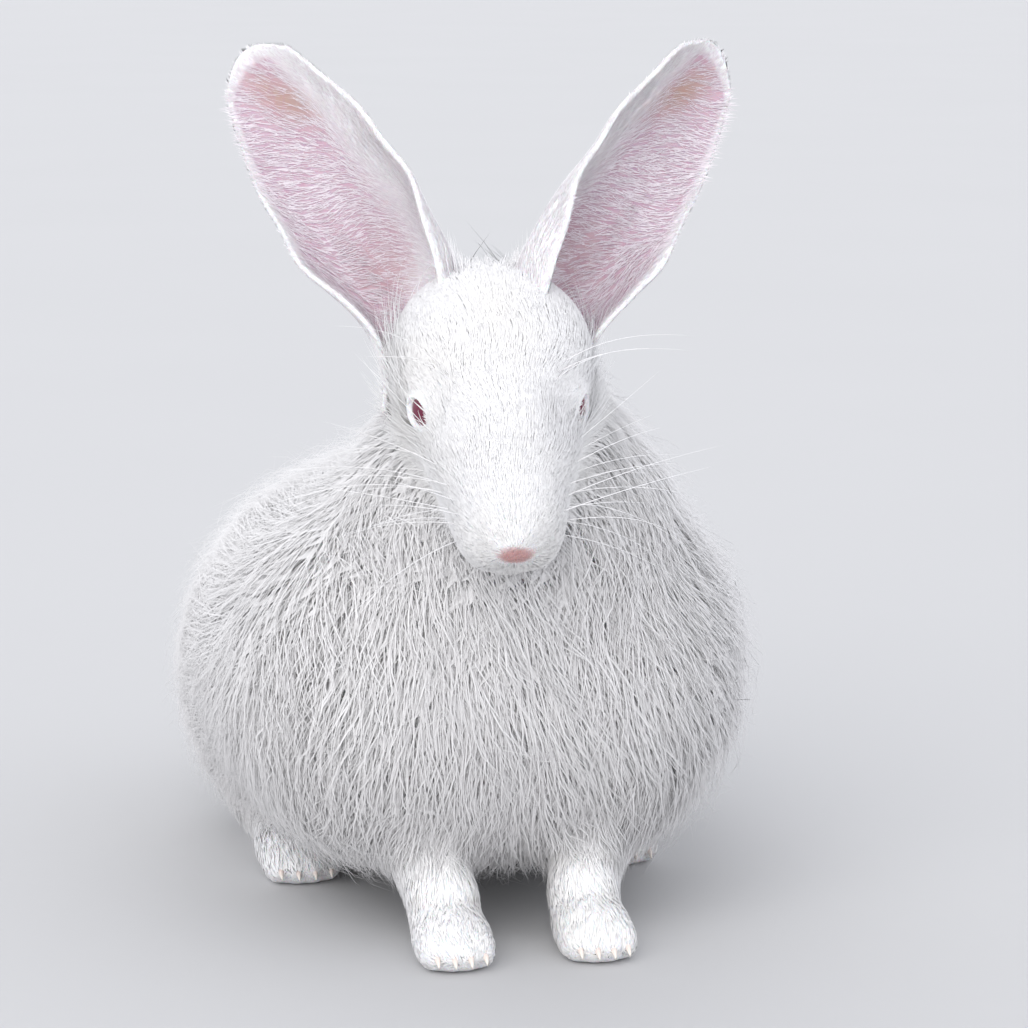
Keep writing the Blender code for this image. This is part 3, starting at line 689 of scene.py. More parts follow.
def strand_normals(across, outs, softness, sides):
    """Shading normals between each strand's own sides and the way out of the coat."""
    count, steps, _ = outs.shape
    found = np.empty((count, sides * (steps - 1) + 1, 3))
    for c, (a, b) in enumerate(ring_corners(sides)):
        own = a * across[:, :-1] + b * outs[:, :-1]
        found[:, c:-1:sides] = softness * outs[:, :-1] + (1 - softness) * own
    found[:, -1] = outs[:, -1]
    return unit(found.reshape(-1, 3))


def strand_object(name, paths, across, outs, widths, places, flat=0.6, sides=3, softness=0.0, tones=None):
    """One mesh of tapered strands, each with a patch of the map at its root's place."""
    count, steps, _ = paths.shape
    verts = strand_corners(paths, across, outs, widths, flat, sides)
    each = verts.shape[1]
    faces = strand_faces(steps, sides)
    index = (faces[None] + (np.arange(count) * each)[:, None, None]).reshape(-1)
    mesh = bpy.data.meshes.new(name)
    mesh.vertices.add(count * each)
    mesh.vertices.foreach_set("co", verts.ravel())
    mesh.loops.add(len(index))
    mesh.loops.foreach_set("vertex_index", index.astype(np.int32))
    mesh.polygons.add(len(index) // 3)
    mesh.polygons.foreach_set("loop_start", np.arange(0, len(index), 3, dtype=np.int32))
    mesh.update(calc_edges=True)
    spots = 0.02 + 0.95 * fitted(places)
    patches = (spots[:, None] + patch_corners(steps, sides)[None]).reshape(-1, 2)
    layer = mesh.uv_layers.new(name="OFBake")
    layer.data.foreach_set("uv", patches[index].astype(np.float32).ravel())
    ring = np.append(np.repeat(np.arange(steps - 1), sides), steps - 1) / (steps - 1)
    set_values(mesh, "along", np.tile(ring, count))
    if tones is not None:
        set_values(mesh, "tone", np.repeat(tones, each))
    if softness:
        layer = mesh.attributes.new("custom_normal", "FLOAT_VECTOR", "POINT")
        shading = strand_normals(across, outs, softness, sides)
        layer.data.foreach_set("vector", shading.astype(np.float32).ravel())
    return link(name, mesh)


def fitted(places):
    """Places on an unwrapped skin, stretched to fill a square."""
    low = places.min(axis=0)
    high = places.max(axis=0)
    return (places - low) / np.maximum(high - low, 1e-6)


def taper(shape, lengths):
    """Half widths along each strand."""
    return np.array(shape)[None] * lengths[:, None]


def scattered(mesh, spacing, chance, wanted=None):
    """Random points on a mesh, about this far apart at each vertex, with the surface's normals."""
    mesh.calc_loop_triangles()
    corners = np.empty(len(mesh.loop_triangles) * 3, np.int32)
    mesh.loop_triangles.foreach_get("vertices", corners)
    corners = corners.reshape(-1, 3)
    points = coordinates(mesh)
    a, b, c = (points[corners[:, i]] for i in range(3))
    area = np.linalg.norm(np.cross(b - a, c - a), axis=1) / 2
    each = area / spacing[corners].mean(axis=1) ** 2
    if wanted is not None:
        each = each * wanted[corners].mean(axis=1)
    count = np.floor(each + chance.random(len(each))).astype(int)
    picked = np.repeat(np.arange(len(corners)), count)
    u = np.sqrt(chance.random(len(picked)))
    v = chance.random(len(picked))
    shares = np.stack([1 - u, u * (1 - v), u * v], axis=1)
    places = (points[corners[picked]] * shares[..., None]).sum(axis=1)
    normals = unit((vertex_normals(mesh)[corners[picked]] * shares[..., None]).sum(axis=1))
    return places, normals


def swirl(points, size, seed):
    """A smooth random number between about -1 and 1 that changes over this distance."""
    chance = np.random.default_rng(seed)
    total = np.zeros(len(points))
    for _ in range(5):
        way = chance.normal(size=3)
        total += np.sin(points @ way / size + chance.uniform(0, 6.28))
    return total / 2.5


def turned(ways, normals, angles):
    """Directions on the surface turned round its normals."""
    side = np.cross(normals, ways)
    return np.cos(angles)[:, None] * ways + np.sin(angles)[:, None] * side


BACK = np.array(BODY.to_3x3() @ Vector((0, 1, 0)))
DOWN = np.array((0, 0, -1.0))
NOSE_TIP = np.array(HEAD @ Vector((0, -0.056, -0.003)))


def coat_way(points, normals, weights):
    """The way the coat lies: from the nose back over the head, then back and down the body."""
    on_head = unit(points - NOSE_TIP + 0.010 * np.array(HEAD.to_3x3() @ Vector((0, 1, 0))))
    local = to_local(BODY, points)
    frontal = 1 - smooth_step(-0.02, 0.05, local[:, 1])
    on_body = (0.85 - 0.75 * frontal)[:, None] * BACK + (0.55 + 0.35 * frontal)[:, None] * DOWN
    on_tail = np.tile(0.5 * BACK - 0.6 * DOWN, (len(points), 1))
    low = 1 - smooth_step(0.012, 0.030, local[:, 2])
    on_leg = (-BACK[None] * (0.25 + 0.9 * low)[:, None]) + DOWN * (0.9 - 0.6 * low)[:, None]
    legs = weights[:, LEG_GROUPS].sum(axis=1)
    parts = zip((on_head, on_body, on_tail, on_leg), (weights[:, 0], weights[:, 1], weights[:, 2], legs))
    way = sum(p * w[:, None] for p, w in parts)
    flat = way - (way * normals).sum(axis=1)[:, None] * normals
    return unit(flat)


def marched(roots, lengths, rises, bends, stray):
    """Lines that leave the skin and run along the coat, with the ways across them and outward."""
    depth = RABBIT.depth(roots)
    place = roots
    lines, sides, outs = [], [], []
    for k, rise in enumerate(rises):
        _, normal, weights = RABBIT.read(place, rise)
        way = turned(coat_way(place, normal, weights), normal, stray + bends * k / len(rises))
        lines.append(place)
        sides.append(np.cross(normal, way))
        outs.append(normal)
        if k + 1 < len(rises):
            place = place + way * (lengths / (len(rises) - 1))[:, None]
            distance, normal, _ = RABBIT.read(place, rises[k + 1])
            limit = np.maximum(0.45 * lengths, 0.3 * depth)
            place = place - np.clip(distance, -limit, limit)[:, None] * normal
    wool = weights[:, BODY_GROUP] + weights[:, TAIL_GROUP]
    lines = clear_of_floor(np.stack(lines, axis=1), np.clip(wool, 0, 1)[:, None])
    return within_reach(lines), np.stack(sides, axis=1), np.stack(outs, axis=1)


def gathered(lines, roots, spacing, pull, chance):
    """Draws the strands' outer ends together into locks about this far apart."""
    count = max(4, int(len(roots) / spacing))
    centres = chance.choice(len(roots), min(count, len(roots)), replace=False)
    tree = KDTree(len(centres))
    for i, c in enumerate(centres):
        tree.insert(Vector(roots[c]), i)
    tree.balance()
    home = centres[[tree.find(Vector(p))[1] for p in roots]]
    steps = lines.shape[1]
    share = (pull * (np.arange(steps) / (steps - 1)) ** 1.5)[None, :, None]
    return lines + share * (lines[home] - lines), home


def curled(lines, sides, outs, size, turns, phase):
    """Waves the strands from side to side, more towards their tips."""
    steps = lines.shape[1]
    t = np.arange(steps) / (steps - 1)
    angle = phase[:, None] + turns[:, None] * t[None] * 2 * math.pi
    wave = np.sin(angle) - np.sin(phase)[:, None]
    rise = np.cos(angle) - np.cos(phase)[:, None]
    amount = size[:, None] * t[None] ** 0.7
    return lines + (wave * amount)[..., None] * sides + (0.6 * rise * amount)[..., None] * outs


# Materials


def new_group(name, inputs, outputs):
    """An empty shader group with named sockets."""
    tree = bpy.data.node_groups.new(name, "ShaderNodeTree")
    for label, kind, value in inputs:
        socket = tree.interface.new_socket(name=label, in_out="INPUT", socket_type=kind)
        socket.default_value = value
    for label, kind in outputs:
        tree.interface.new_socket(name=label, in_out="OUTPUT", socket_type=kind)
    tree.nodes.new("NodeGroupInput").location = (-900, 0)
    tree.nodes.new("NodeGroupOutput").location = (600, 0)
    return tree


def group_ends(tree):
    nodes = tree.nodes
    return nodes["Group Input"], nodes["Group Output"]


def wire(source, out, target, into):
    """Links one node's output to another's input."""
    source.id_data.links.new(source.outputs[out], target.inputs[into])


def fill(node, values):
    """Sets a node's inputs by name or number."""
    for label, value in values.items():
        node.inputs[label].default_value = value


def math_node(nodes, operation):
    node = nodes.new("ShaderNodeMath")
    node.operation = operation
    return node


def noise_node(nodes, scale, detail=3.0, roughness=0.5):
    node = nodes.new("ShaderNodeTexNoise")
    fill(node, {"Scale": scale, "Detail": detail, "Roughness": roughness})
    return node


def range_node(nodes, low, high, to_low=0.0, to_high=1.0):
    node = nodes.new("ShaderNodeMapRange")
    fill(node, {"From Min": low, "From Max": high, "To Min": to_low, "To Max": to_high})
    return node


def mix_node(nodes, blend="MIX"):
    node = nodes.new("ShaderNodeMix")
    node.data_type = "RGBA"
    node.blend_type = blend
    return node


MIX_FACTOR, MIX_A, MIX_B, MIX_OUT = 0, 6, 7, 2
NOISE_SPAN = 0.3, 0.7  # between which most of a noise's values lie


def at_place(nodes, *targets):
    """Lays textures out by the place on the object."""
    place = nodes.new("ShaderNodeTexCoord")
    for target in targets:
        wire(place, "Object", target, "Vector")


def two_tone(nodes, source, out, first, second):
    """From one colour to another along a source's values."""
    tone = mix_node(nodes)
    fill(tone, {MIX_A: (*first, 1), MIX_B: (*second, 1)})
    wire(source, out, tone, MIX_FACTOR)
    return tone


def roughen(nodes, source, out, target, low, high):
    """A little variation in how rough a surface is."""
    rough = range_node(nodes, *NOISE_SPAN, low, high)
    wire(source, out, rough, "Value")
    wire(rough, "Result", target, "Roughness")


def coat_tone_group():
    """Colour of a coat: white at the tips, with painted shade that darkens it towards the roots, faintly
    tinted in soft patches.
    """
    sockets = [
        ("White", "NodeSocketColor", (0.9, 0.9, 0.9, 1)),
        ("Depth", "NodeSocketColor", (0.7, 0.68, 0.72, 1)),
        ("Tint", "NodeSocketColor", (0.86, 0.82, 0.74, 1)),
        ("Along", "NodeSocketFloat", 1.0),
        ("Tone", "NodeSocketFloat", 0.0),
        ("Tint Amount", "NodeSocketFloat", 0.3),
    ]
    tree = new_group("coat_tone", sockets, [("Color", "NodeSocketColor"), ("Roughness", "NodeSocketFloat")])
    nodes = tree.nodes
    start, end = group_ends(tree)
    patches = noise_node(nodes, 22.0)
    fine = noise_node(nodes, 420.0, 2.0)
    at_place(nodes, patches, fine)
    # painted shade: each strand goes from the darker root colour at its root to white at its tip
    root = range_node(nodes, 0.0, 0.75)
    wire(start, "Along", root, "Value")
    body = mix_node(nodes)
    wire(root, "Result", body, MIX_FACTOR)
    wire(start, "Depth", body, MIX_A)
    wire(start, "White", body, MIX_B)
    spread = range_node(nodes, 0.42, 0.72)
    wire(patches, "Fac", spread, "Value")
    amount = math_node(nodes, "MULTIPLY")
    wire(spread, "Result", amount, 0)
    wire(start, "Tint Amount", amount, 1)
    whole = math_node(nodes, "ADD")
    whole.use_clamp = True
    wire(amount, 0, whole, 0)
    wire(start, "Tone", whole, 1)
    tinted = mix_node(nodes)
    wire(whole, 0, tinted, MIX_FACTOR)
    wire(body, MIX_OUT, tinted, MIX_A)
    wire(start, "Tint", tinted, MIX_B)
    speck = range_node(nodes, *NOISE_SPAN, 0.93, 1.03)
    wire(fine, "Fac", speck, "Value")
    shaded = mix_node(nodes, "MULTIPLY")
    shaded.inputs[MIX_FACTOR].default_value = 1.0
    wire(tinted, MIX_OUT, shaded, MIX_A)
    wire(speck, "Result", shaded, MIX_B)
    wire(shaded, MIX_OUT, end, "Color")
    roughen(nodes, fine, "Fac", end, 0.55, 0.75)
    return tree


def skin_grain_group():
    """Height of fine pores and soft folds, and a mottling mask, for bare skin."""
    sockets = [("Pore Scale", "NodeSocketFloat", 900.0), ("Fold Scale", "NodeSocketFloat", 90.0)]
    tree = new_group("skin_grain", sockets, [("Height", "NodeSocketFloat"), ("Mottle", "NodeSocketFloat")])
    nodes = tree.nodes
    start, end = group_ends(tree)
    pores = nodes.new("ShaderNodeTexVoronoi")
    pores.feature = "DISTANCE_TO_EDGE"
    folds = noise_node(nodes, 90.0, 4.0)
    mottle = noise_node(nodes, 60.0, 3.0)
    at_place(nodes, pores, folds, mottle)
    wire(start, "Pore Scale", pores, "Scale")
    wire(start, "Fold Scale", folds, "Scale")
    total = math_node(nodes, "MULTIPLY_ADD")
    total.inputs[1].default_value = 0.6
    wire(pores, "Distance", total, 0)
    wire(folds, "Fac", total, 2)
    wire(total, 0, end, "Height")
    wire(mottle, "Fac", end, "Mottle")
    return tree


def fur_grain_group():
    """Height of fine streaks that run along the head, as short flat fur shows."""
    tree = new_group("fur_grain", [("Scale", "NodeSocketFloat", 1200.0)], [("Height", "NodeSocketFloat")])
    nodes = tree.nodes
    start, end = group_ends(tree)
    turn = nodes.new("ShaderNodeMapping")
    turn.vector_type = "TEXTURE"
    fill(turn, {"Rotation": (HEAD_PITCH, 0, HEAD_YAW), "Scale": (1.0, 5.0, 1.5)})
    streaks = noise_node(nodes, 1200.0, 2.0, 0.6)
    at_place(nodes, turn)
    wire(turn, "Vector", streaks, "Vector")
    wire(start, "Scale", streaks, "Scale")
    wire(streaks, "Fac", end, "Height")
    return tree


def new_material(name):
    material = bpy.data.materials.new(name)
    material.use_nodes = True
    tree = material.node_tree
    return material, tree.nodes, tree.nodes["Principled BSDF"]


def place_group(nodes, name, make):
    node = nodes.new("ShaderNodeGroup")
    node.node_tree = bpy.data.node_groups.get(name) or make()
    return node


def attribute_node(nodes, name):
    node = nodes.new("ShaderNodeAttribute")
    node.attribute_name = name
    return node


def coat_material(name, white, depth, tint, amount):
    """Matt fur with a soft sheen."""
    found = bpy.data.materials.get(name)
    if found:
        return found
    material, nodes, shader = new_material(name)
    tone = place_group(nodes, "coat_tone", coat_tone_group)
    # the roots' colour is painted shade, darker than the strands' white tips
    fill(tone, {"White": (*white, 1), "Depth": (*depth, 1), "Tint": (*tint, 1), "Tint Amount": amount})
    wire(attribute_node(nodes, "along"), "Fac", tone, "Along")
    wire(attribute_node(nodes, "tone"), "Fac", tone, "Tone")
    wire(tone, "Color", shader, "Base Color")
    wire(tone, "Roughness", shader, "Roughness")
    fill(shader, {"Specular IOR Level": 0.15, "Sheen Weight": 0.15, "Sheen Roughness": 0.5})
    return material


def grain(nodes, shader, pores, folds, strength, distance, furred=0.0):
    """Bumps a shader with skin grain or fine streaks of fur, and gives the node with the mottling."""
    node = place_group(nodes, "skin_grain", skin_grain_group)
    fill(node, {"Pore Scale": pores, "Fold Scale": folds})
    bump = nodes.new("ShaderNodeBump")
    fill(bump, {"Strength": strength, "Distance": distance})
    if furred:
        streaks = place_group(nodes, "fur_grain", fur_grain_group)
        streaks.inputs["Scale"].default_value = furred
        wire(streaks, "Height", bump, "Height")
    else:
        wire(node, "Height", bump, "Height")
    wire(bump, "Normal", shader, "Normal")
    return node


def skin_material(colours):
    """Pale skin under the coat, pink on the bare nose."""
    material, nodes, shader = new_material("skin")
    mottle = grain(nodes, shader, 1100.0, 160.0, 0.8, 0.0012, furred=1300.0)
    pink = two_tone(nodes, mottle, "Mottle", colours.nose, [0.72 * c for c in colours.nose])
    whole = mix_node(nodes)
    whole.inputs[MIX_A].default_value = (*colours.skin, 1)
    wire(attribute_node(nodes, "nose"), "Fac", whole, MIX_FACTOR)
    wire(pink, MIX_OUT, whole, MIX_B)
    wire(whole, MIX_OUT, shader, "Base Color")
    roughen(nodes, mottle, "Mottle", shader, 0.45, 0.62)
    fill(shader, {"Subsurface Weight": 0.2, "Subsurface Scale": 0.002})
    return material


def ear_material(colours):
    """Thin pink skin, partly darkened as painted shade, with more painted shade in the cup's hollow, paler to
    the tip, with faint vessels.
    """
    material, nodes, shader = new_material("ear_skin")
    mottle = grain(nodes, shader, 900.0, 120.0, 0.4, 0.0003)
    # painted shade: the ear's pink darkens to brown in the hollow
    inverse = math_node(nodes, "SUBTRACT")
    inverse.inputs[0].default_value = 1.0
    wire(attribute_node(nodes, "hollow"), "Fac", inverse, 1)
    hollow = two_tone(nodes, inverse, 0, colours.ear_hollow_shade, colours.ear)
    stretch = nodes.new("ShaderNodeMapping")
    stretch.inputs["Scale"].default_value = (1.0, 1.0, 0.45)
    vessels = noise_node(nodes, 55.0, 5.0, 0.6)
    at_place(nodes, stretch)
    wire(stretch, "Vector", vessels, "Vector")
    lines = range_node(nodes, 0.47, 0.50)
    wire(vessels, "Fac", lines, "Value")
    back = range_node(nodes, 0.50, 0.53, 1.0, 0.0)
    wire(vessels, "Fac", back, "Value")
    band = math_node(nodes, "MULTIPLY")
    wire(lines, "Result", band, 0)
    wire(back, "Result", band, 1)
    faint = math_node(nodes, "MULTIPLY")
    faint.inputs[1].default_value = 0.35
    wire(band, 0, faint, 0)
    veined = mix_node(nodes)
    veined.inputs[MIX_B].default_value = (*[c * f for c, f in zip(colours.ear, (0.82, 0.62, 0.70))], 1)
    wire(faint, 0, veined, MIX_FACTOR)
    wire(hollow, MIX_OUT, veined, MIX_A)
    pale = mix_node(nodes)
    pale.inputs[MIX_A].default_value = (*colours.skin, 1)
    wire(attribute_node(nodes, "inner"), "Fac", pale, MIX_FACTOR)
    wire(veined, MIX_OUT, pale, MIX_B)
    wire(pale, MIX_OUT, shader, "Base Color")
    roughen(nodes, mottle, "Mottle", shader, 0.50, 0.68)
    fill(shader, {"Subsurface Weight": 0.25, "Subsurface Scale": 0.003})
    return material


def eye_material(colours):
    """Wet, dark red eye: a near black pupil in a deep red iris with fine spokes."""
    material, nodes, shader = new_material("eye")
    radius = attribute_node(nodes, "from_axis")
    spokes = noise_node(nodes, 700.0, 3.0)
    at_place(nodes, spokes)
    streak = range_node(nodes, 0.35, 0.65, 0.75, 1.2)
    wire(spokes, "Fac", streak, "Value")
    ramp = nodes.new("ShaderNodeValToRGB")
    stops = ramp.color_ramp.elements
    stops[0].position = 0.40
    stops[0].color = (*[c * 0.06 for c in colours.eye], 1)
    stops[1].position = 0.47
    stops[1].color = (*[c * 0.70 for c in colours.eye], 1)
    for place_at, factor in ((0.62, 1.0), (0.74, 0.60), (1.0, 0.55)):
        stop = stops.new(place_at)
        stop.color = (*[c * factor for c in colours.eye], 1)
    wire(radius, "Fac", ramp, "Fac")
    shaded = mix_node(nodes, "MULTIPLY")
    shaded.inputs[MIX_FACTOR].default_value = 1.0
    wire(ramp, "Color", shaded, MIX_A)
    wire(streak, "Result", shaded, MIX_B)
    wire(shaded, MIX_OUT, shader, "Base Color")
    fill(shader, {"Roughness": 0.15, "Specular IOR Level": 0.08, "Coat Weight": 0.05, "Coat Roughness": 0.03})
    return material


def plain_skin_material(name, colour, darker):
    """Moist bare skin of lids."""
    material, nodes, shader = new_material(name)
    mottle = grain(nodes, shader, 1500.0, 300.0, 0.4, 0.0003)
    tone = two_tone(nodes, mottle, "Mottle", colour, [c * darker for c in colour])
    wire(tone, MIX_OUT, shader, "Base Color")
    roughen(nodes, mottle, "Mottle", shader, 0.35, 0.55)
    return material


def claw_material():
    """Pale horn, pinker towards the root."""
    material, nodes, shader = new_material("claw")
    tone = two_tone(nodes, attribute_node(nodes, "along"), "Fac", (0.80, 0.62, 0.58), (0.88, 0.84, 0.76))
    streaks = noise_node(nodes, 900.0)
    at_place(nodes, streaks)
    wire(tone, MIX_OUT, shader, "Base Color")
    roughen(nodes, streaks, "Fac", shader, 0.28, 0.45)
    return material


def floor_material(colours):
    """Plain pale board with the faintest mottling."""
    material, nodes, shader = new_material("floor")
    cloud = noise_node(nodes, 3.0)
    at_place(nodes, cloud)
    tone = two_tone(nodes, cloud, "Fac", colours.floor, [0.97 * c for c in colours.floor])
    wire(tone, MIX_OUT, shader, "Base Color")
    shader.inputs["Roughness"].default_value = 0.9
    return material


def fur_white(colours):
    return coat_material("fur", colours.white, colours.depth, colours.tint, 0.25)


def wool_white(colours):
    return coat_material("wool", colours.white, colours.depth, colours.tint, 0.30)


def ear_hair(colours):
    # the cup's hair goes to a darker pink at its roots: partly its own colour, partly painted shade
    return coat_material("ear_hair", colours.white, colours.ear_hair, colours.ear_hair, 0.10)


# Pieces of coat


def skin_places(points):
    """Places on the skin unwrapped round the body's long axis."""
    local = to_local(BODY, points)
    turn = np.arctan2(local[:, 0], local[:, 2] - 0.085)
    return np.stack([turn, local[:, 1] + 0.3 * local[:, 2]], axis=1)


def face_places(points):
    """Places on the skin unwrapped round the head's long axis."""
    local = to_local(HEAD, points)
    return np.stack([np.arctan2(local[:, 0], local[:, 2] + 0.004), local[:, 1]], axis=1)


def clear_of_features(points, eye=1.16):
    """1 where fur grows, 0 on the eyes and on the bare nose."""
    grows = 1 - smooth_step(0.05, 0.80, nose_share(points))
    grows *= line_distance(to_local(HEAD, points), mouth_line()) > 0.0011
    for side in SIDES:
        grows *= eye_reach(points, side) > eye
    return grows


def clear_of_ears(points):
    """1 where fur grows, 0 inside the cups of the ears."""
    grows = np.ones(len(points))
    for side in SIDES:
        s, turn, inner = ear_shares(side, points)
        grows *= 1 - inner * (np.abs(turn) < 0.9) * (s > -0.12) * (s < 0.5)
    return grows


SKIN_READ = {}


def skin_reading(mesh):
    """The skin's points, groups' weights, coat depth and where it is furred, read once for each skin."""
    if SKIN_READ.get("size") != len(mesh.vertices):
        points = coordinates(mesh)
        _, _, weights = RABBIT.read(points, SKIN_SHARE)
        furred = clear_of_features(points) * clear_of_ears(points) * (points[:, 2] > 0.0015)
        SKIN_READ.update(size=len(points), found=(points, weights, RABBIT.depth(points), furred))
    return SKIN_READ["found"]


class Roots:
    """Where one kind of coat grows on the skin."""

    def __init__(self, spacing_of, kind, chance):
        mesh = bpy.data.objects["skin"].data
        points, weights, depth, furred = skin_reading(mesh)
        grows = kind(points, weights) * furred
        self.points, self.normals = scattered(mesh, spacing_of(points, depth), chance, grows)
        self.depth = RABBIT.depth(self.points)
        self.count = len(self.points)


def split_by(values, count):
    """Which of a number of equal shares each value falls in."""
    order = np.argsort(np.argsort(values))
    return order * count // len(values)


def face_weight(points, weights):
    return smooth_step(0.45, 0.55, weights[:, HEAD_GROUP])


def wool_weight(points, weights):
    return smooth_step(0.45, 0.55, weights[:, BODY_GROUP] + weights[:, TAIL_GROUP])


def leg_weight(points, weights):
    return smooth_step(0.45, 0.55, weights[:, LEG_GROUPS].sum(axis=1))


def cheek_share(points):
    """1 on the sides of the muzzle and the cheeks, 0 on the face's front and top."""
    local = to_local(HEAD, points)
    beside = smooth_step(0.009, 0.018, np.abs(local[:, 0]))
    below = 1 - smooth_step(-0.004, 0.008, local[:, 2])
    return beside * below * smooth_step(-0.036, -0.008, local[:, 1])


def cheek_weight(points, weights):
    return face_weight(points, weights) * cheek_share(points)


def poll_weight(points, weights):
    """The top of the neck behind the crown, between the ears."""
    local = to_local(HEAD, points)
    between = 1 - smooth_step(0.014, 0.020, np.abs(local[:, 0]))
    return between * smooth_step(0.040, 0.046, local[:, 1]) * (local[:, 2] > -0.008)


SEEDS = {
    "face": 11,
    "legs": 12,
    "wool": 13,
    "hair": 14,
    "cheeks": 15,
    "poll": 16,
    "under": 17,
    "ear_right": 19,
    "ear_left": 21,
    "whiskers": 31,
    "lashes": 32,
}


def draws(kind):
    """The random draws of one kind of coat, the same in each run."""
    return np.random.default_rng(SEEDS[kind])


ALL = slice(None)
FULL_WOOL = 0.006, 0.030  # depths of coat between which the wool goes from thin to full


def even(size):
    return lambda points, depth: np.full(len(depth), size)


def by_depth(size, low, high, least):
    return lambda points, depth: size * (least + (1 - least) * smooth_step(low, high, depth))


def coat_piece(name, chosen, strands, widths, places, material, slot, **shape):
    """One named share of a coat."""
    lines, sides, outs = strands
    tones = shape.pop("tones", None)
    if tones is not None:
        shape["tones"] = tones[chosen]
    args = (lines[chosen], sides[chosen], outs[chosen], widths[chosen], places[chosen])
    return finished(strand_object(name, *args, **shape), material, slot)


def build_face_fur(sizes, colours):
    """Short fur from the nose back over the head, a little longer on the cheeks."""
    chance = draws("face")
    roots = Roots(by_depth(sizes.face_spacing, 0.002, 0.009, 0.72), face_weight, chance)
    points, depth, count = roots.points, roots.depth, roots.count
    near_eye = np.minimum(eye_reach(points, "left"), eye_reach(points, "right"))
    lengths = (0.0016 + 1.15 * depth) * chance.uniform(0.8, 1.25, count)
    lengths = lengths * (0.45 + 0.55 * smooth_step(1.1, 2.2, near_eye))
    stray = 0.30 * swirl(points, 0.010, 3) + chance.normal(0, 0.18, count)
    strands = marched(points, lengths, (0.72, 0.98, 1.12), chance.normal(0, 0.25, count), stray)
    finer = 0.7 + 0.5 * smooth_step(0.002, 0.006, depth)
    thick = sizes.face_width * chance.uniform(0.7, 1.2, count) * finer
    widths = taper((0.9, 0.75, 0.0), thick)
    local = to_local(HEAD, points)
    tones = 0.22 * np.exp(-((local[:, 0] / 0.010) ** 2) - ((local[:, 1] - 0.020) / 0.014) ** 2)
    part = split_by(local[:, 0], 2)
    for i, name in enumerate(("face_fur_right", "face_fur_left")):
        look = (face_places(points), fur_white(colours), "short_coat")
        coat_piece(name, part == i, strands, widths, *look, flat=0.4, softness=0.8, tones=tones)


CHEEK_WIDTH, CHEEK_STEPS = 0.00019, 5


def build_cheek_fringe(sizes, colours):
    """Longer soft hair that stands out from the cheeks and runs into the ruff."""
    chance = draws("cheeks")
    roots = Roots(even(sizes.cheek_spacing), cheek_weight, chance)
    points, count = roots.points, roots.count
    _, outward, weights = RABBIT.read(points, SHORT_SHARE)
    way = turned(coat_way(points, outward, weights), outward, 0.4 * swirl(points, 0.012, 7))
    far_back = smooth_step(-0.030, 0.012, to_local(HEAD, points)[:, 1])
    lengths = (0.0060 + 0.0120 * far_back) * chance.uniform(0.6, 1.3, count)
    ways = unit(way + 0.55 * outward + chance.normal(0, 0.16, (count, 3)))
    droop = 0.5 * way - 0.30 * outward + np.array((0, 0, -0.25)) + chance.normal(0, 0.14, (count, 3))
    lines = within_reach(bent_lines(points, ways, lengths, droop, CHEEK_STEPS))
    side = np.repeat(unit(np.cross(outward, way))[:, None], CHEEK_STEPS, axis=1)
    strands = (lines, side, np.repeat(outward[:, None], CHEEK_STEPS, axis=1))
    widths = taper((0.8, 1.0, 0.8, 0.45, 0.0), CHEEK_WIDTH * chance.uniform(0.6, 1.3, count))
    look = (face_places(points), fur_white(colours), "short_coat")
    coat_piece("cheek_fringe", ALL, strands, widths, *look, softness=0.8)


POLL_SPACING, POLL_WIDTH, POLL_STEPS = 0.0011, 0.00020, 5


def build_poll_tuft(sizes, colours):
    """Spiky fine tufts behind the crown, between the ears."""
    chance = draws("poll")
    roots = Roots(even(POLL_SPACING), poll_weight, chance)
    points, count = roots.points, roots.count
    local = to_local(HEAD, points)
    lengths = sizes.poll_length * chance.uniform(0.45, 1.1, count)
    lengths = lengths * (0.22 + 0.78 * smooth_step(0.006, 0.015, np.abs(local[:, 0])))
    up = np.array((0, 0.25, 1.0))[None] + np.array(HEAD.to_3x3() @ Vector((1, 0, 0)))[None] * (
        local[:, :1] * 18 + chance.normal(0, 0.16, (count, 1))
    )
    ways = unit(0.55 * roots.normals + up + chance.normal(0, 0.10, (count, 3)))
    droop = 0.35 * np.array((0, 1.0, 0.0))[None] + chance.normal(0, 0.12, (count, 3))
    lines = within_reach(bent_lines(points, ways, lengths, droop, POLL_STEPS))
    lines, _ = gathered(lines, points, 9, 0.72, chance)
    side, out = frames_along(lines)
    widths = taper((1.0, 0.9, 0.65, 0.35, 0.0), POLL_WIDTH * chance.uniform(0.6, 1.3, count))
    look = (face_places(points), fur_white(colours), "wool")
    coat_piece("poll_tuft", ALL, (lines, side, out), widths, *look, flat=0.8)


def build_leg_fur(sizes, colours):
    """Short fur down the legs and forward over the toes."""
    chance = draws("legs")
    roots = Roots(even(sizes.leg_spacing), leg_weight, chance)
    points, depth, count = roots.points, roots.depth, roots.count
    lengths = (0.0030 + 1.3 * depth) * chance.uniform(0.8, 1.25, count)
    stray = 0.25 * swirl(points, 0.010, 8) + chance.normal(0, 0.20, count)
    strands = marched(points, lengths, (0.70, 0.92, 1.05), chance.normal(0, 0.25, count), stray)
    widths = taper((0.9, 0.75, 0.0), sizes.leg_width * chance.uniform(0.7, 1.2, count))
    look = (to_local(BODY, points)[:, :2], fur_white(colours), "short_coat")
    coat_piece("leg_fur", ALL, strands, widths, *look, flat=0.4, softness=0.75)


WOOL_PIECES = ("wool_neck", "wool_shoulders", "wool_flanks", "wool_loin", "wool_haunches")


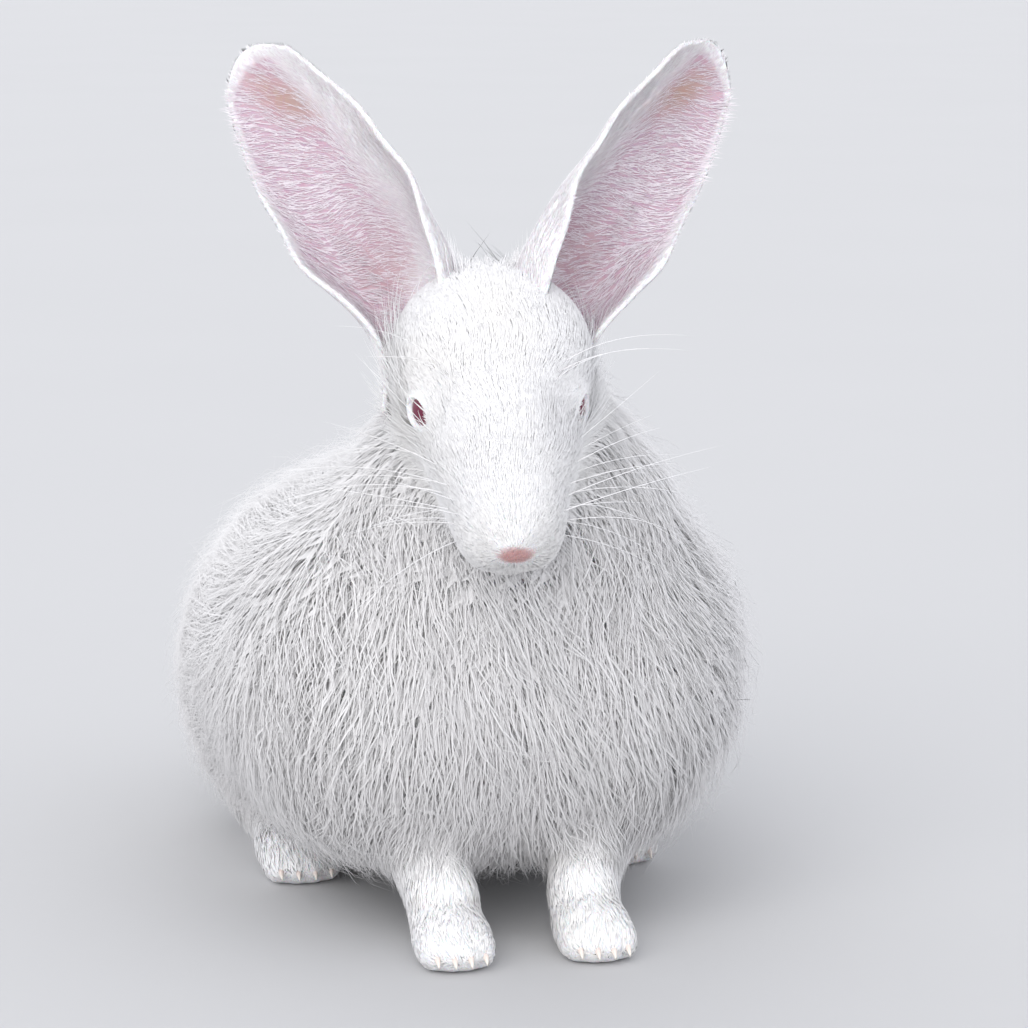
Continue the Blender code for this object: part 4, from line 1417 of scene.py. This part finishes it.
def build_wool(sizes, colours):
    """Long woolly strands in soft locks over neck, back, flanks and haunches."""
    chance = draws("wool")
    roots = Roots(by_depth(sizes.wool_spacing, *FULL_WOOL, 0.50), wool_weight, chance)
    points, depth, count = roots.points, roots.depth, roots.count
    lengths = sizes.wool_length * depth * chance.uniform(0.75, 1.2, count) + 0.004
    stray = 0.45 * swirl(points, 0.020, 5) + chance.normal(0, 0.28, count)
    rises = (0.67, 0.86, 0.97, 1.06)
    lines, sides, outs = marched(points, lengths, rises, chance.normal(0, 0.45, count), stray)
    lines, home = gathered(lines, points, 20, 0.34, chance)
    phase = chance.uniform(0, 6.28, count)[home] + chance.normal(0, 0.7, count)
    curl = 0.10 * depth * chance.uniform(0.4, 1.4, count)
    lines = curled(lines, sides, outs, curl, chance.uniform(0.4, 0.9, count)[home], phase)
    finer = 0.50 + 0.50 * smooth_step(*FULL_WOOL, depth)
    thick = sizes.wool_width * finer * chance.uniform(0.5, 1.3, count)
    widths = taper((0.8, 1.0, 0.7, 0.0), thick)
    strands = (within_reach(lines), sides, outs)
    local = to_local(BODY, points)
    part = split_by(local[:, 1] - 0.6 * local[:, 2], len(WOOL_PIECES))
    for i, name in enumerate(WOOL_PIECES):
        look = (skin_places(points), wool_white(colours), "wool")
        coat_piece(name, part == i, strands, widths, *look, flat=0.4, softness=0.9)


def build_under_wool(sizes, colours):
    """Broad short tufts low in the wool, which close it over the skin."""
    chance = draws("under")
    roots = Roots(by_depth(sizes.under_spacing, *FULL_WOOL, 0.55), wool_weight, chance)
    points, depth, count = roots.points, roots.depth, roots.count
    lengths = (0.50 * depth + 0.004) * chance.uniform(0.8, 1.25, count)
    stray = 0.5 * swirl(points, 0.018, 10) + chance.normal(0, 0.35, count)
    strands = marched(points, lengths, (0.67, 0.83, 0.93), chance.normal(0, 0.3, count), stray)
    finer = 0.5 + 0.5 * smooth_step(*FULL_WOOL, depth)
    thick = sizes.under_width * finer * chance.uniform(0.8, 1.2, count)
    look = (skin_places(points), wool_white(colours), "wool")
    widths = taper((0.9, 1.0, 0.0), thick)
    coat_piece("under_wool", ALL, strands, widths, *look, flat=0.2, softness=0.92)


def build_fine_hair(sizes, colours):
    """Single fine hairs that stand a little out of the wool and soften its outline."""
    chance = draws("hair")
    roots = Roots(even(sizes.hair_spacing), wool_weight, chance)
    points, depth, count = roots.points, roots.depth, roots.count
    lengths = depth * chance.uniform(0.7, 1.5, count) + 0.004
    stray = 0.4 * swirl(points, 0.015, 6) + chance.normal(0, 0.6, count)
    strands = marched(points, lengths, (0.72, 0.94, 1.09, 1.22), chance.normal(0, 0.9, count), stray)
    lines, sides, outs = strands
    curl = 0.14 * depth * chance.uniform(0.3, 1.5, count)
    lines = curled(lines, sides, outs, curl, chance.uniform(0.4, 1.2, count), chance.uniform(0, 6.28, count))
    widths = taper((1.0, 0.9, 0.6, 0.0), sizes.hair_width * chance.uniform(0.7, 1.3, count))
    strands = (within_reach(lines), sides, outs)
    part = split_by(to_local(BODY, points)[:, 1], 2)
    for i, name in enumerate(("fine_hair_front", "fine_hair_rear")):
        look = (skin_places(points), wool_white(colours), "wool")
        coat_piece(name, part == i, strands, widths, *look, flat=1.0, softness=0.8)


def build_ear_fur(side, sizes, colours):
    """Dense short fur on the ear's back and rims, and fine hair combed outwards in its cup."""
    chance = draws("ear_" + side)
    mesh = bpy.data.objects["ear_shell_" + side].data
    points = coordinates(mesh)
    s, turn, inner = ear_shares(side, points)
    cup = 0.66 + 0.34 * ear_white(side, s, turn) - 0.34 * ear_hollow_shade(side, s, turn)
    outside = RABBIT.read(points, SKIN_SHARE)[0] > 0.0005
    wanted = np.where(inner > 0.5, np.clip(cup, 0, 1), 0.75) * outside
    roots, normals = scattered(mesh, np.full(len(points), sizes.ear_spacing), chance, wanted)
    count = len(roots)
    s, turn, inner = ear_shares(side, roots)
    medial = -turn * SIDES[side]
    tip = smooth_step(0.92, 0.97, s / ear_top(turn))
    edge = smooth_step(0.86, 0.97, np.abs(turn)) * (1 - tip)
    rim = np.clip(edge + tip, 0, 1)
    _, along, across, _ = ear_axes(side)
    axis = along / np.linalg.norm(along)
    lateral = SIDES[side] * across
    out_share = np.where(inner > 0.5, 1.05 - 1.0 * smooth_step(-0.1, 0.8, medial), 0.2)
    out_share = out_share * (1 - rim) - 0.3 * edge * np.sign(medial)
    way = axis[None] * (1 - 0.35 * (out_share > 0.8))[:, None] + out_share[:, None] * lateral[None]
    way = unit(way - (way * normals).sum(axis=1)[:, None] * normals)
    stray = 0.25 * swirl(roots, 0.008, 9 + SIDES[side]) + chance.normal(0, 0.20, count)
    way = turned(way, normals, stray)
    lengths = (0.0060 - 0.0040 * rim - 0.0018 * (inner < 0.5) * (1 - rim)) * chance.uniform(0.7, 1.25, count)
    steps = np.array((0.0, 0.5, 1.0))
    lines = roots[:, None] + way[:, None] * (lengths[:, None] * steps)[..., None]
    lines = lines + normals[:, None] * (0.0001 + (lengths * 0.10)[:, None] * steps**0.8)[..., None]
    sides = np.repeat(np.cross(normals, way)[:, None], 3, axis=1)
    outs = np.repeat(normals[:, None], 3, axis=1)
    bare = 1 - 0.55 * inner * ear_hollow_shade(side, s, turn)
    widths = taper((0.9, 0.8, 0.0), sizes.ear_width * bare * chance.uniform(0.5, 1.25, count))
    tones = inner * (1 - ear_white(side, s, turn)) * chance.uniform(0.55, 1.0, count)
    places = np.stack([turn + 3.0 * inner, s], axis=1)
    look = (places, ear_hair(colours), "short_coat")
    strands = (within_reach(lines), sides, outs)
    coat_piece("ear_fur_" + side, ALL, strands, widths, *look, flat=0.3, softness=0.85, tones=tones)


# Eyes, lids, lashes, whiskers and claws


def build_eye(side, colours):
    """A smooth ball with a slight bulge over the iris."""
    bm = bmesh.new()
    bmesh.ops.create_uvsphere(bm, u_segments=64, v_segments=48, radius=EYE_RADIUS)
    for vert in bm.verts:
        away = math.hypot(vert.co.x, vert.co.y) / EYE_RADIUS
        if vert.co.z > 0:
            vert.co.z += EYE_BULGE * max(0.0, 1 - (away / 0.75) ** 2)
    mesh = mesh_of(bm, "eyeball_" + side)
    local = coordinates(mesh)
    off_axis = np.hypot(local[:, 0], local[:, 1]) / EYE_RADIUS
    set_values(mesh, "from_axis", np.where(local[:, 2] > 0, off_axis, 1.0))
    mesh.transform(eye_frame(side))
    obj = link("eyeball_" + side, mesh)
    material = bpy.data.materials.get("eye") or eye_material(colours)
    finished(obj, material, "eye", "eye_" + side)


def lid_ring(side, scale, radius):
    """Points round the eye's opening, at a scale of it and a distance from the eyeball's centre."""
    frame = eye_frame(side)
    found = []
    for i in range(LID_STEPS):
        turn = 2 * math.pi * i / LID_STEPS
        x = EYE_OPENING[0] * scale * math.cos(turn)
        y = EYE_OPENING[1] * scale * math.sin(turn) * (1 - 0.12 * math.cos(2 * turn))
        z = math.sqrt(max(EYE_RADIUS**2 - x * x - y * y, 0.0000040))
        found.append(frame @ (Vector((x, y, z)).normalized() * radius))
    return numbers(found)


def build_lid(side, colours):
    """A thin soft rim that rolls from the eyeball over the edge of the skin."""
    inner = lid_ring(side, 0.93, EYE_RADIUS - 0.0001)
    outer = lid_ring(side, 1.20, EYE_RADIUS + 0.85 * LID)
    crest = lid_ring(side, 0.98, EYE_RADIUS + 1.9 * LID)
    rings = []
    for i in range(11):
        t = i / 10
        a, b, c = (1 - t) ** 2, 2 * t * (1 - t), t * t
        weight = a + 1.6 * b + c
        rings.append((a * inner + 1.6 * b * crest + c * outer) / weight)
    bm = bmesh.new()
    rows = [[bm.verts.new(p) for p in ring] for ring in rings]
    for low, high in zip(rows[:-1], rows[1:]):
        for i in range(LID_STEPS):
            j = (i + 1) % LID_STEPS
            bm.faces.new((low[i], low[j], high[j], high[i]))
    bmesh.ops.recalc_face_normals(bm, faces=bm.faces)
    obj = link("lid_" + side, mesh_of(bm, "lid_" + side))
    thicken(obj, LID_THICKNESS, -1.0)
    with_modifiers_applied(obj)
    material = bpy.data.materials.get("lid") or plain_skin_material("lid", colours.lid, 0.8)
    finished(obj, material, "ear_skin")


def bent_lines(roots, ways, lengths, droop, steps):
    """Lines that start along their ways and bend to a second direction."""
    t = np.arange(steps) / (steps - 1)
    run = ways[:, None] * (lengths[:, None] * t)[..., None]
    sag = droop[:, None] * (lengths[:, None] * t**2)[..., None]
    return roots[:, None] + run + sag


def frames_along(lines):
    """The ways across and out of each line, for its thickness."""
    way = unit(np.gradient(lines, axis=1))
    side = unit(np.cross(way, np.array((0.1, 0.2, 1.0))))
    return side, np.cross(way, side)


WHISKER_ROWS, WHISKERS_IN_ROW, BROW_WHISKERS = 3, 5, 3
WHISKER_STEPS, WHISKER_WIDTH = 12, 0.00016


def build_whiskers(colours):
    """Long white whiskers from the pads of the muzzle and above the eyes."""
    chance = draws("whiskers")
    roots, ways, lengths, droops = [], [], [], []
    for side in SIDES.values():
        for i in range(WHISKER_ROWS * WHISKERS_IN_ROW):
            row, place = divmod(i, WHISKERS_IN_ROW)
            spot = (side * (0.0125 - 0.0008 * row), -0.044 + 0.0050 * place, -0.004 - 0.0042 * row)
            roots.append(HEAD @ Vector(spot))
            out = Vector((side, 0.10 + 0.16 * place, 0.34 - 0.28 * row)) + Vector(chance.normal(0, 0.12, 3))
            ways.append((HEAD.to_3x3() @ out).normalized())
            lengths.append(chance.uniform(0.040, 0.072))
            droops.append(Vector((0, 0.10, -0.16 - 0.1 * row)) + Vector(chance.normal(0, 0.10, 3)))
        for i in range(BROW_WHISKERS):
            roots.append(HEAD @ Vector((side * (0.0165 + 0.002 * i), -0.004 + 0.004 * i, 0.017)))
            out = Vector((side * 1.0, 0.1 * i, 0.9)) + Vector(chance.normal(0, 0.15, 3))
            ways.append((HEAD.to_3x3() @ out).normalized())
            lengths.append(chance.uniform(0.030, 0.045))
            droops.append(Vector((side * 0.25, 0.1, -0.35)))
    roots, ways, droops = numbers(roots), numbers(ways), numbers(droops)
    lines = within_reach(bent_lines(roots, ways, np.array(lengths), droops, WHISKER_STEPS))
    side, out = frames_along(lines)
    thick = np.full(len(roots), WHISKER_WIDTH)
    widths = taper(np.linspace(1.0, 0.12, WHISKER_STEPS), thick)
    places = face_places(roots)
    obj = strand_object("whiskers", lines, side, out, widths, places, flat=1.0, sides=4)
    finished(obj, fur_white(colours), "short_coat")


LASHES, LASH_STEPS, LASH_WIDTH = 30, 6, 0.00010


def build_lashes(colours):
    """Fine white lashes round the upper lids."""
    chance = draws("lashes")
    roots, ways = [], []
    for name in SIDES:
        ring = lid_ring(name, 1.16, EYE_RADIUS + 0.0007)
        axis = np.array(eye_frame(name).to_3x3() @ Vector((0, 0, 1)))
        middle = np.array(eye_frame(name).translation)
        for i in chance.permutation(LID_STEPS)[:LASHES]:
            roots.append(ring[i])
            away = ring[i] - middle
            away = away - (away @ axis) * axis
            up = 0.25 * np.array((0, 0, 1.0))
            ways.append(unit(away) * 0.75 + axis * 0.6 + up + chance.normal(0, 0.18, 3))
    roots, ways = np.array(roots), unit(np.array(ways))
    lengths = chance.uniform(0.0022, 0.0042, len(roots))
    droop = np.tile((0, 0.05, 0.15), (len(roots), 1)) + chance.normal(0, 0.15, (len(roots), 3))
    lines = bent_lines(roots, ways, lengths, droop, LASH_STEPS)
    side, out = frames_along(lines)
    widths = taper(np.linspace(1.0, 0.1, LASH_STEPS), np.full(len(roots), LASH_WIDTH))
    obj = strand_object("lashes", lines, side, out, widths, face_places(roots), flat=1.0)
    finished(obj, fur_white(colours), "short_coat")


CLAW_LENGTH, CLAW_WIDTH, CLAW_STEPS = 0.0056, 0.0012, 7


def build_claws():
    """Curved claws on every toe."""
    roots = []
    for places in (*FORETOES.values(), *HINDTOES.values()):
        for x, y, z in places:
            roots.append(BODY @ Vector((x, y - TOE[1] + 0.0005, z + 0.0002)))
    roots = numbers(roots)
    forward = np.array(BODY.to_3x3() @ Vector((0, -1, 0.05)))
    ways = np.tile(forward, (len(roots), 1))
    droop = np.tile((0, 0, -0.55), (len(roots), 1))
    lines = bent_lines(roots, ways, np.full(len(roots), CLAW_LENGTH), droop, CLAW_STEPS)
    lines[..., 2] = np.maximum(lines[..., 2], CLAW_WIDTH)
    side, out = frames_along(lines)
    widths = taper((1.0, 1.0, 0.92, 0.78, 0.58, 0.36, 0.1), np.full(len(roots), CLAW_WIDTH))
    obj = strand_object("claws", lines, side, out, widths, to_local(BODY, roots)[:, :2], flat=1.15, sides=10)
    finished(obj, claw_material(), "short_coat")


# Stage

PHOTO_SIDE = 1028  # pixels
FOCAL_LENGTH = 3450  # pixels
SENSOR = 36  # millimetres
CAMERA_PITCH = 10.3  # degrees downwards
CAMERA_AWAY, CAMERA_LEFT, CAMERA_LOWER = 1.150, 0.0051, 0.036  # from the middle of the eyes
FLOOR_RADIUS = 60.0
SURROUND = (0.88, 0.90, 0.96, 1), 0.95
# each lamp's name, where it shines from, its breadth in degrees, its strength and its colour
LAMPS = (
    ("key", (-0.45, -1.15, 0.75), 60, 1.70, (1.0, 0.985, 0.965)),
    ("fill", (1.0, -0.5, 0.6), 80, 0.45, (0.96, 0.97, 1.0)),
    ("back", (-0.2, 1.0, 0.7), 70, 0.60, (1.0, 1.0, 1.0)),
)


def soft_sun(name, source, spread, strength, colour):
    """A far, very broad lamp that shines from this way."""
    data = bpy.data.lights.new(name, "SUN")
    data.angle = math.radians(spread)
    data.energy = strength
    data.color = colour
    obj = link(name, data)
    obj.location = source
    obj.rotation_euler = (-Vector(source)).to_track_quat("-Z", "Y").to_euler()


def build_camera():
    """The photo's view: a long lens a little above the rabbit, looking down on its face."""
    pitch = math.radians(CAMERA_PITCH)
    ahead = Vector((0, math.cos(pitch), -math.sin(pitch)))
    up = Vector((0, math.sin(pitch), math.cos(pitch)))
    data = bpy.data.cameras.new("camera")
    data.sensor_width = SENSOR
    data.lens = SENSOR * FOCAL_LENGTH / PHOTO_SIDE
    data.clip_start = 0.01
    camera = link("camera", data)
    eyes = SHIFT + Vector((0, 0, EYE_HEIGHT))
    camera.location = eyes - CAMERA_AWAY * ahead + Vector((CAMERA_LEFT, 0, 0)) - CAMERA_LOWER * up
    camera.rotation_euler = (math.radians(90) - pitch, 0, 0)
    bpy.context.scene.camera = camera


def build_stage(colours):
    """A plain pale floor, an even surround and broad soft lights."""
    bm = bmesh.new()
    bmesh.ops.create_circle(bm, cap_ends=True, segments=96, radius=FLOOR_RADIUS)
    floor = link("floor", mesh_of(bm, "floor"))
    floor.data.materials.append(floor_material(colours))
    world = bpy.data.worlds.new("surround")
    bpy.context.scene.world = world
    world.use_nodes = True
    background = world.node_tree.nodes["Background"]
    background.inputs["Color"].default_value, background.inputs["Strength"].default_value = SURROUND
    for lamp in LAMPS:
        soft_sun(*lamp)
    bpy.context.scene.view_settings.view_transform = "Standard"


# Sizes and colours a user may change


def length(name, about, value):
    return FloatProperty(name=name, description=about, default=value, unit="LENGTH", precision=5)


def colour(name, about, value):
    return FloatVectorProperty(name=name, description=about, default=value, subtype="COLOR", size=3)


class RabbitSizes(bpy.types.PropertyGroup):
    face_spacing: length("Face spacing", "Distance between strands on the face", 0.00086)
    face_width: length("Face strand", "Half width of a strand on the face", 0.00027)
    cheek_spacing: length("Cheek spacing", "Distance between the cheeks' longer hairs", 0.00125)
    poll_length: length("Poll tuft", "Length of the tufts behind the crown", 0.025)
    leg_spacing: length("Leg spacing", "Distance between strands on the legs", 0.00175)
    leg_width: length("Leg strand", "Half width of a strand on the legs", 0.00048)
    ear_spacing: length("Ear spacing", "Distance between strands on the ears", 0.00092)
    ear_width: length("Ear strand", "Half width of a strand on the ears", 0.00017)
    wool_spacing: length("Wool spacing", "Distance between the roots of woolly strands", 0.00216)
    wool_width: length("Wool strand", "Half width of a woolly strand", 0.00035)
    wool_length: FloatProperty(name="Wool length", description="Strand length over coat depth", default=1.35)
    under_spacing: length("Under wool spacing", "Distance between the tufts low in the wool", 0.0050)
    under_width: length("Under wool tuft", "Half width of a tuft low in the wool", 0.0020)
    hair_spacing: length("Hair spacing", "Distance between the roots of single hairs", 0.0038)
    hair_width: length("Hair", "Half width of a single hair", 0.00010)


class RabbitColours(bpy.types.PropertyGroup):
    white: colour("White", "Tips of the coat", (0.985, 0.98, 0.985))
    # painted shade: the coat's root colour is a little darker and greyer than the white tips, for the shade
    # deep in the coat
    depth: colour("Depth", "Roots of the coat", (0.97, 0.96, 0.97))
    tint: colour("Tint", "Faint warm patches", (0.95, 0.91, 0.82))
    skin: colour("Skin", "Skin under the coat", (0.96, 0.95, 0.96))
    # partly the ears' own pink, partly painted shade: the inside of the ears is darkened for the shade the
    # cups lie in
    ear: colour("Ear", "Skin inside the ears", (0.58, 0.40, 0.49))
    # painted shade: the warm brown that darkens the hollow under the ears' tips and low in their cups
    ear_hollow_shade: colour("Ear hollow", "Skin in the deep folds of the ears", (0.46, 0.30, 0.26))
    # partly real colour from the pink skin under the hair, partly painted shade: the cups' hair is darkened
    # for the shade they lie in
    ear_hair: colour("Ear hair", "Hair in the cups of the ears", (0.80, 0.71, 0.77))
    nose: colour("Nose", "Bare tip of the nose", (0.64, 0.36, 0.35))
    lid: colour("Lids", "Rims of the eyes", (0.62, 0.45, 0.49))
    eye: colour("Eyes", "Iris", (0.024, 0.003, 0.008))
    floor: colour("Floor", "Plain floor", (0.56, 0.56, 0.565))


class RABBIT_OT_skin(bpy.types.Operator):
    """Builds the skin of head, body and legs"""

    bl_idname = "rabbit.skin"
    bl_label = "Skin"

    def execute(self, context):
        obj = build_skin()
        nodes = ("head", "neck", "torso", "foreleg_left", "foreleg_right", "hindleg_left", "hindleg_right")
        finished(obj, skin_material(context.scene.rabbit_colours), "short_coat", *nodes)
        return {"FINISHED"}


class RABBIT_OT_ears(bpy.types.Operator):
    """Builds the ears' shells"""

    bl_idname = "rabbit.ears"
    bl_label = "Ears"

    def execute(self, context):
        material = ear_material(context.scene.rabbit_colours)
        for side in SIDES:
            finished(build_ear(side), material, "ear_skin", "ear_" + side)
        return {"FINISHED"}


class RABBIT_OT_eyes(bpy.types.Operator):
    """Builds eyeballs, lids and lashes"""

    bl_idname = "rabbit.eyes"
    bl_label = "Eyes"

    def execute(self, context):
        for side in SIDES:
            build_eye(side, context.scene.rabbit_colours)
            build_lid(side, context.scene.rabbit_colours)
        build_lashes(context.scene.rabbit_colours)
        return {"FINISHED"}


class RABBIT_OT_short_fur(bpy.types.Operator):
    """Builds the short fur of face, ears and legs"""

    bl_idname = "rabbit.short_fur"
    bl_label = "Short fur"

    def execute(self, context):
        sizes, colours = context.scene.rabbit_sizes, context.scene.rabbit_colours
        build_face_fur(sizes, colours)
        build_cheek_fringe(sizes, colours)
        build_poll_tuft(sizes, colours)
        build_leg_fur(sizes, colours)
        for side in SIDES:
            build_ear_fur(side, sizes, colours)
        return {"FINISHED"}


class RABBIT_OT_wool(bpy.types.Operator):
    """Builds the long wool of neck and body"""

    bl_idname = "rabbit.wool"
    bl_label = "Wool"

    def execute(self, context):
        sizes, colours = context.scene.rabbit_sizes, context.scene.rabbit_colours
        build_under_wool(sizes, colours)
        build_wool(sizes, colours)
        build_fine_hair(sizes, colours)
        return {"FINISHED"}


class RABBIT_OT_whiskers(bpy.types.Operator):
    """Builds the whiskers"""

    bl_idname = "rabbit.whiskers"
    bl_label = "Whiskers"

    def execute(self, context):
        build_whiskers(context.scene.rabbit_colours)
        return {"FINISHED"}


class RABBIT_OT_claws(bpy.types.Operator):
    """Builds the claws"""

    bl_idname = "rabbit.claws"
    bl_label = "Claws"

    def execute(self, context):
        build_claws()
        return {"FINISHED"}


class RABBIT_OT_stage(bpy.types.Operator):
    """Builds floor, lights and camera"""

    bl_idname = "rabbit.stage"
    bl_label = "Stage"

    def execute(self, context):
        build_stage(context.scene.rabbit_colours)
        build_camera()
        return {"FINISHED"}


STEPS = ("skin", "ears", "eyes", "short_fur", "wool", "whiskers", "claws", "stage")


class RABBIT_PT_panel(bpy.types.Panel):
    """Lists the pieces and their settings"""

    bl_idname = "RABBIT_PT_panel"
    bl_label = "Angora rabbit"
    bl_space_type = "VIEW_3D"
    bl_region_type = "UI"
    bl_category = "Rabbit"

    def draw(self, context):
        for step in STEPS:
            self.layout.operator("rabbit." + step)
        for group in (context.scene.rabbit_sizes, context.scene.rabbit_colours):
            box = self.layout.box()
            for name in group.__annotations__:
                box.prop(group, name)


CLASSES = (
    RabbitSizes,
    RabbitColours,
    RABBIT_OT_skin,
    RABBIT_OT_ears,
    RABBIT_OT_eyes,
    RABBIT_OT_short_fur,
    RABBIT_OT_wool,
    RABBIT_OT_whiskers,
    RABBIT_OT_claws,
    RABBIT_OT_stage,
    RABBIT_PT_panel,
)


def register():
    for cls in CLASSES:
        bpy.utils.register_class(cls)
    bpy.types.Scene.rabbit_sizes = PointerProperty(type=RabbitSizes)
    bpy.types.Scene.rabbit_colours = PointerProperty(type=RabbitColours)


def unregister():
    del bpy.types.Scene.rabbit_colours
    del bpy.types.Scene.rabbit_sizes
    for cls in reversed(CLASSES):
        bpy.utils.unregister_class(cls)


def main():
    register()
    for step in STEPS:
        getattr(bpy.ops.rabbit, step)()


if __name__ == "__main__":
    main()
